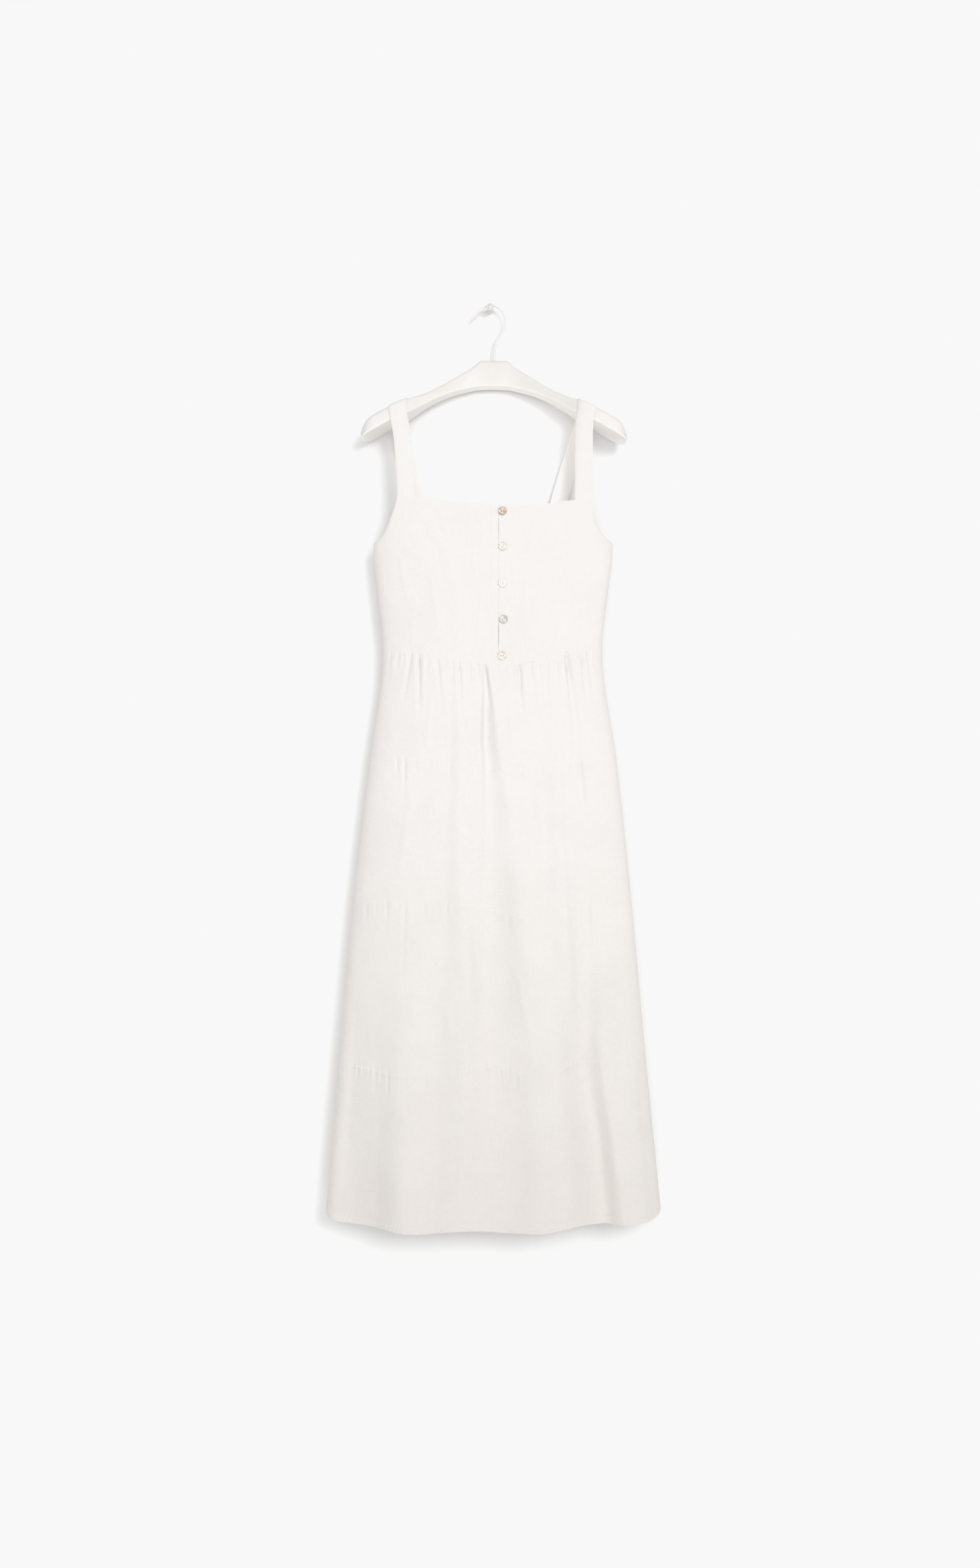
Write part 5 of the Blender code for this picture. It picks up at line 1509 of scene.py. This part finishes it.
def pearl(name, button):
    """Mother-of-pearl: clouded bands of the button's given colours under a clear polish."""
    made = Nodes(name)
    inputs = {"Vector": made.position(), "Scale": BAND_SCALE, "Distortion": BAND_BEND, "Detail": BAND_DETAIL}
    bands = made.add("ShaderNodeTexWave", inputs, wave_type="BANDS", bands_direction="DIAGONAL")
    cloud = made.math("MULTIPLY", made.noise(PEARL_CLOUD), 1 - BAND_SHARE)
    tone = made.math("ADD", cloud, made.math("MULTIPLY", bands.outputs["Fac"], BAND_SHARE))
    colour = made.ramp(tone, button.deep, button.pale, low=0.32, high=0.66)
    return made.set(
        Base_Color=colour, Roughness=0.22, Coat_Weight=0.6, Coat_Roughness=0.06, Specular_IOR_Level=0.6,
    )


def hanger_paint_and_painted_light(name, tones):
    """White satin paint over wood: brush marks along it, a faint unevenness, and painted light that pales its
    underside.
    """
    made = Nodes(name)
    brushed = made.noise(BRUSH_MARKS)
    worn = made.ramp(made.noise(PAINT_CLOUD), tones.deep, tones.pale, low=0.35, high=0.65)
    # Painted light: faces that turn downwards get a paler colour
    normal = made.split(made.add("ShaderNodeNewGeometry").outputs["Normal"])
    below = made.math("MULTIPLY", normal["Z"], -UNDERSIDE_PAINTED_LIGHT_STEP)
    colour = made.mix(made.clamped(below), worn, UNDERSIDE_PAINTED_LIGHT)
    smoother = (PAINT_ROUGH - PAINT_SMOOTHER,) * 3
    rougher = (PAINT_ROUGH + PAINT_ROUGHER,) * 3
    rough = made.ramp(brushed, smoother, rougher, low=0.3, high=0.7)
    surface = made.bump(brushed, distance=0.00025, strength=0.25)
    return made.set(Base_Color=colour, Roughness=rough, Normal=surface, Coat_Weight=0.1)


def nickel(name, tones):
    """Satin nickel: fine turning marks, with a little dark wear."""
    made = Nodes(name)
    colour = made.ramp(made.noise(NICKEL_WEAR), tones.deep, tones.pale, low=0.35, high=0.60)
    surface = made.bump(made.noise(TURNING_MARKS), distance=0.00008, strength=0.2)
    return made.set(Base_Color=colour, Roughness=0.46, Metallic=0.20, Normal=surface)


def wire_coat(name, tones):
    """The hook's white coat: faintly clouded, with a fine grain."""
    made = Nodes(name)
    colour = made.ramp(made.noise(COAT_CLOUD), tones.deep, tones.pale, low=0.35, high=0.65)
    surface = made.bump(made.noise(COAT_GRAIN), distance=0.00006, strength=0.2)
    return made.set(Base_Color=colour, Roughness=0.60, Normal=surface)


def wall_paint():
    """The wall's white paint. It can't be seen from behind, and it lets the light behind it through."""
    made = Nodes("wall_paint")
    below = made.math("SUBTRACT", -WALL_PALER_BELOW, made.split(made.position())["Z"])
    colour = made.ramp(below, (WALL_WHITE,) * 3, (WALL_WHITE_LOW,) * 3)
    made.set(Base_Color=colour, Roughness=1.0, Specular_IOR_Level=0.0)
    clear = made.add("ShaderNodeBsdfTransparent").outputs["BSDF"]
    behind = made.add("ShaderNodeNewGeometry").outputs["Backfacing"]
    shadow = made.add("ShaderNodeLightPath").outputs["Is Shadow Ray"]
    unseen = made.math("MAXIMUM", behind, shadow)
    mixed = made.add("ShaderNodeMixShader", {"Fac": unseen, 1: made.shader.outputs["BSDF"], 2: clear})
    made.put(mixed.outputs["Shader"], made.tree.nodes["Material Output"].inputs["Surface"])
    return made.material


# Stage
def add_plane(name, points, material):
    mesh = bpy.data.meshes.new(name)
    mesh.from_pydata(points, [], [(0, 1, 2, 3)])
    mesh.materials.append(material)
    made = add_object(name, mesh)


def build_stage():
    w, h, y, low = WALL_HALF_WIDTH, FLOOR_HALF, WALL_BEHIND, -FLOOR_DOWN
    add_plane("wall", [(-w, y, low), (w, y, low), (w, y, WALL_TOP), (-w, y, WALL_TOP)], wall_paint())
    floor = Nodes("floor_paint").set(Base_Color=FLOOR_COLOUR, Roughness=0.9)
    add_plane("floor", [(-h, -h, low), (h, -h, low), (h, h, low), (-h, h, low)], floor)


def area_light(name, place, size, power):
    data = bpy.data.lights.new(name, "AREA")
    data.shape = "DISK"
    data.size = size
    data.energy = power
    light = add_object(name, data)
    light.location = place
    light.rotation_euler = (Vector(TARGET) - Vector(place)).to_track_quat("-Z", "Y").to_euler()


def build_light():
    """Three soft lamps, and a world that the camera sees as white but that lights with its own strength."""
    area_light("key", KEY_PLACE, KEY_SIZE, KEY_POWER)
    area_light("fill", FILL_PLACE, FILL_SIZE, FILL_POWER)
    area_light("behind", BACK_LIGHT_PLACE, BACK_LIGHT_SIZE, BACK_LIGHT_POWER)
    world = bpy.data.worlds.new("studio")
    bpy.context.scene.world = world
    world.use_nodes = True
    tree = world.node_tree
    tree.nodes.clear()
    mixed = tree.nodes.new("ShaderNodeMixShader")
    path = tree.nodes.new("ShaderNodeLightPath")
    output = tree.nodes.new("ShaderNodeOutputWorld")
    tree.links.new(path.outputs["Is Camera Ray"], mixed.inputs["Fac"])
    for number, strength in enumerate((WORLD_STRENGTH, 1.0), start=1):
        background = tree.nodes.new("ShaderNodeBackground")
        background.inputs["Color"].default_value = (*WHITE, 1.0)
        background.inputs["Strength"].default_value = strength
        tree.links.new(background.outputs[0], mixed.inputs[number])
    tree.links.new(mixed.outputs[0], output.inputs["Surface"])


def build_camera():
    """A level camera straight in front, at which one pixel is one millimetre on the dress's front."""
    data = bpy.data.cameras.new("camera")
    data.sensor_width = SENSOR
    data.lens = SENSOR * CAMERA_DISTANCE / (IMAGE_LONG_SIDE * PIXEL)
    camera = add_object("camera", data)
    camera.location = (0.0, -(CAMERA_PLANE + CAMERA_DISTANCE), -CAMERA_DOWN)
    camera.rotation_euler = (math.pi / 2, 0.0, 0.0)
    bpy.context.scene.camera = camera


def set_exposure():
    """Plain colours, with whites held at the level at which the photograph's wall stops."""
    view = bpy.context.scene.view_settings
    view.view_transform = "Standard"
    view.use_curve_mapping = True
    curve = view.curve_mapping
    curve.clip_max_x = BRIGHTEST
    curve.clip_max_y = BRIGHTEST
    curve.extend = "HORIZONTAL"
    points = curve.curves[COMBINED_CURVE].points
    points[1].location = (WHITE_LEVEL, WHITE_LEVEL)
    points.new(BRIGHTEST, WHITE_LEVEL)
    for point in points:
        point.handle_type = "VECTOR"
    curve.update()


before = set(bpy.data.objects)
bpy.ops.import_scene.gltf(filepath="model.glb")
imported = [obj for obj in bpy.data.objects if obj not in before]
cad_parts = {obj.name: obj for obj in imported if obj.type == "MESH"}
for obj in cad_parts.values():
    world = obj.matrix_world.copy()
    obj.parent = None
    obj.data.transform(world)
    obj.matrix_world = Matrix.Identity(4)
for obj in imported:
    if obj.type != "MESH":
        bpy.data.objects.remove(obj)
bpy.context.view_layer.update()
build_camera()
build_light()
build_stage()
# Every linen is painted darker towards the hem, as painted shade
linen_cloth = linen("linen_cloth", CLOTH_TONES)
# The button stand's linen is painted paler and warmer, as painted light in the slit
linen_stand_painted_light = linen("linen_stand_painted_light", STAND_PAINTED_LIGHT_TONES)
# The straps' linen has painted light that makes it paler and warmer near the wall
linen_strap_painted_light = linen("linen_strap_painted_light", STRAP_TONES, STRAP_PAINTED_LIGHT)
linen_thread = linen("linen_thread", THREAD_TONES)
build_bodice(linen_cloth)
build_button_stand(linen_stand_painted_light)
build_hanger(hanger_paint_and_painted_light("hanger_paint_and_painted_light", HANGER_TONES))
build_straps(linen_strap_painted_light, linen_thread)
build_skirt(linen_cloth)
build_stitching(linen_thread)
build_buttons(linen_thread)
build_hook(wire_coat("wire_coat", WIRE_TONES))
build_peg(nickel("satin_nickel", NICKEL_TONES))
set_exposure()
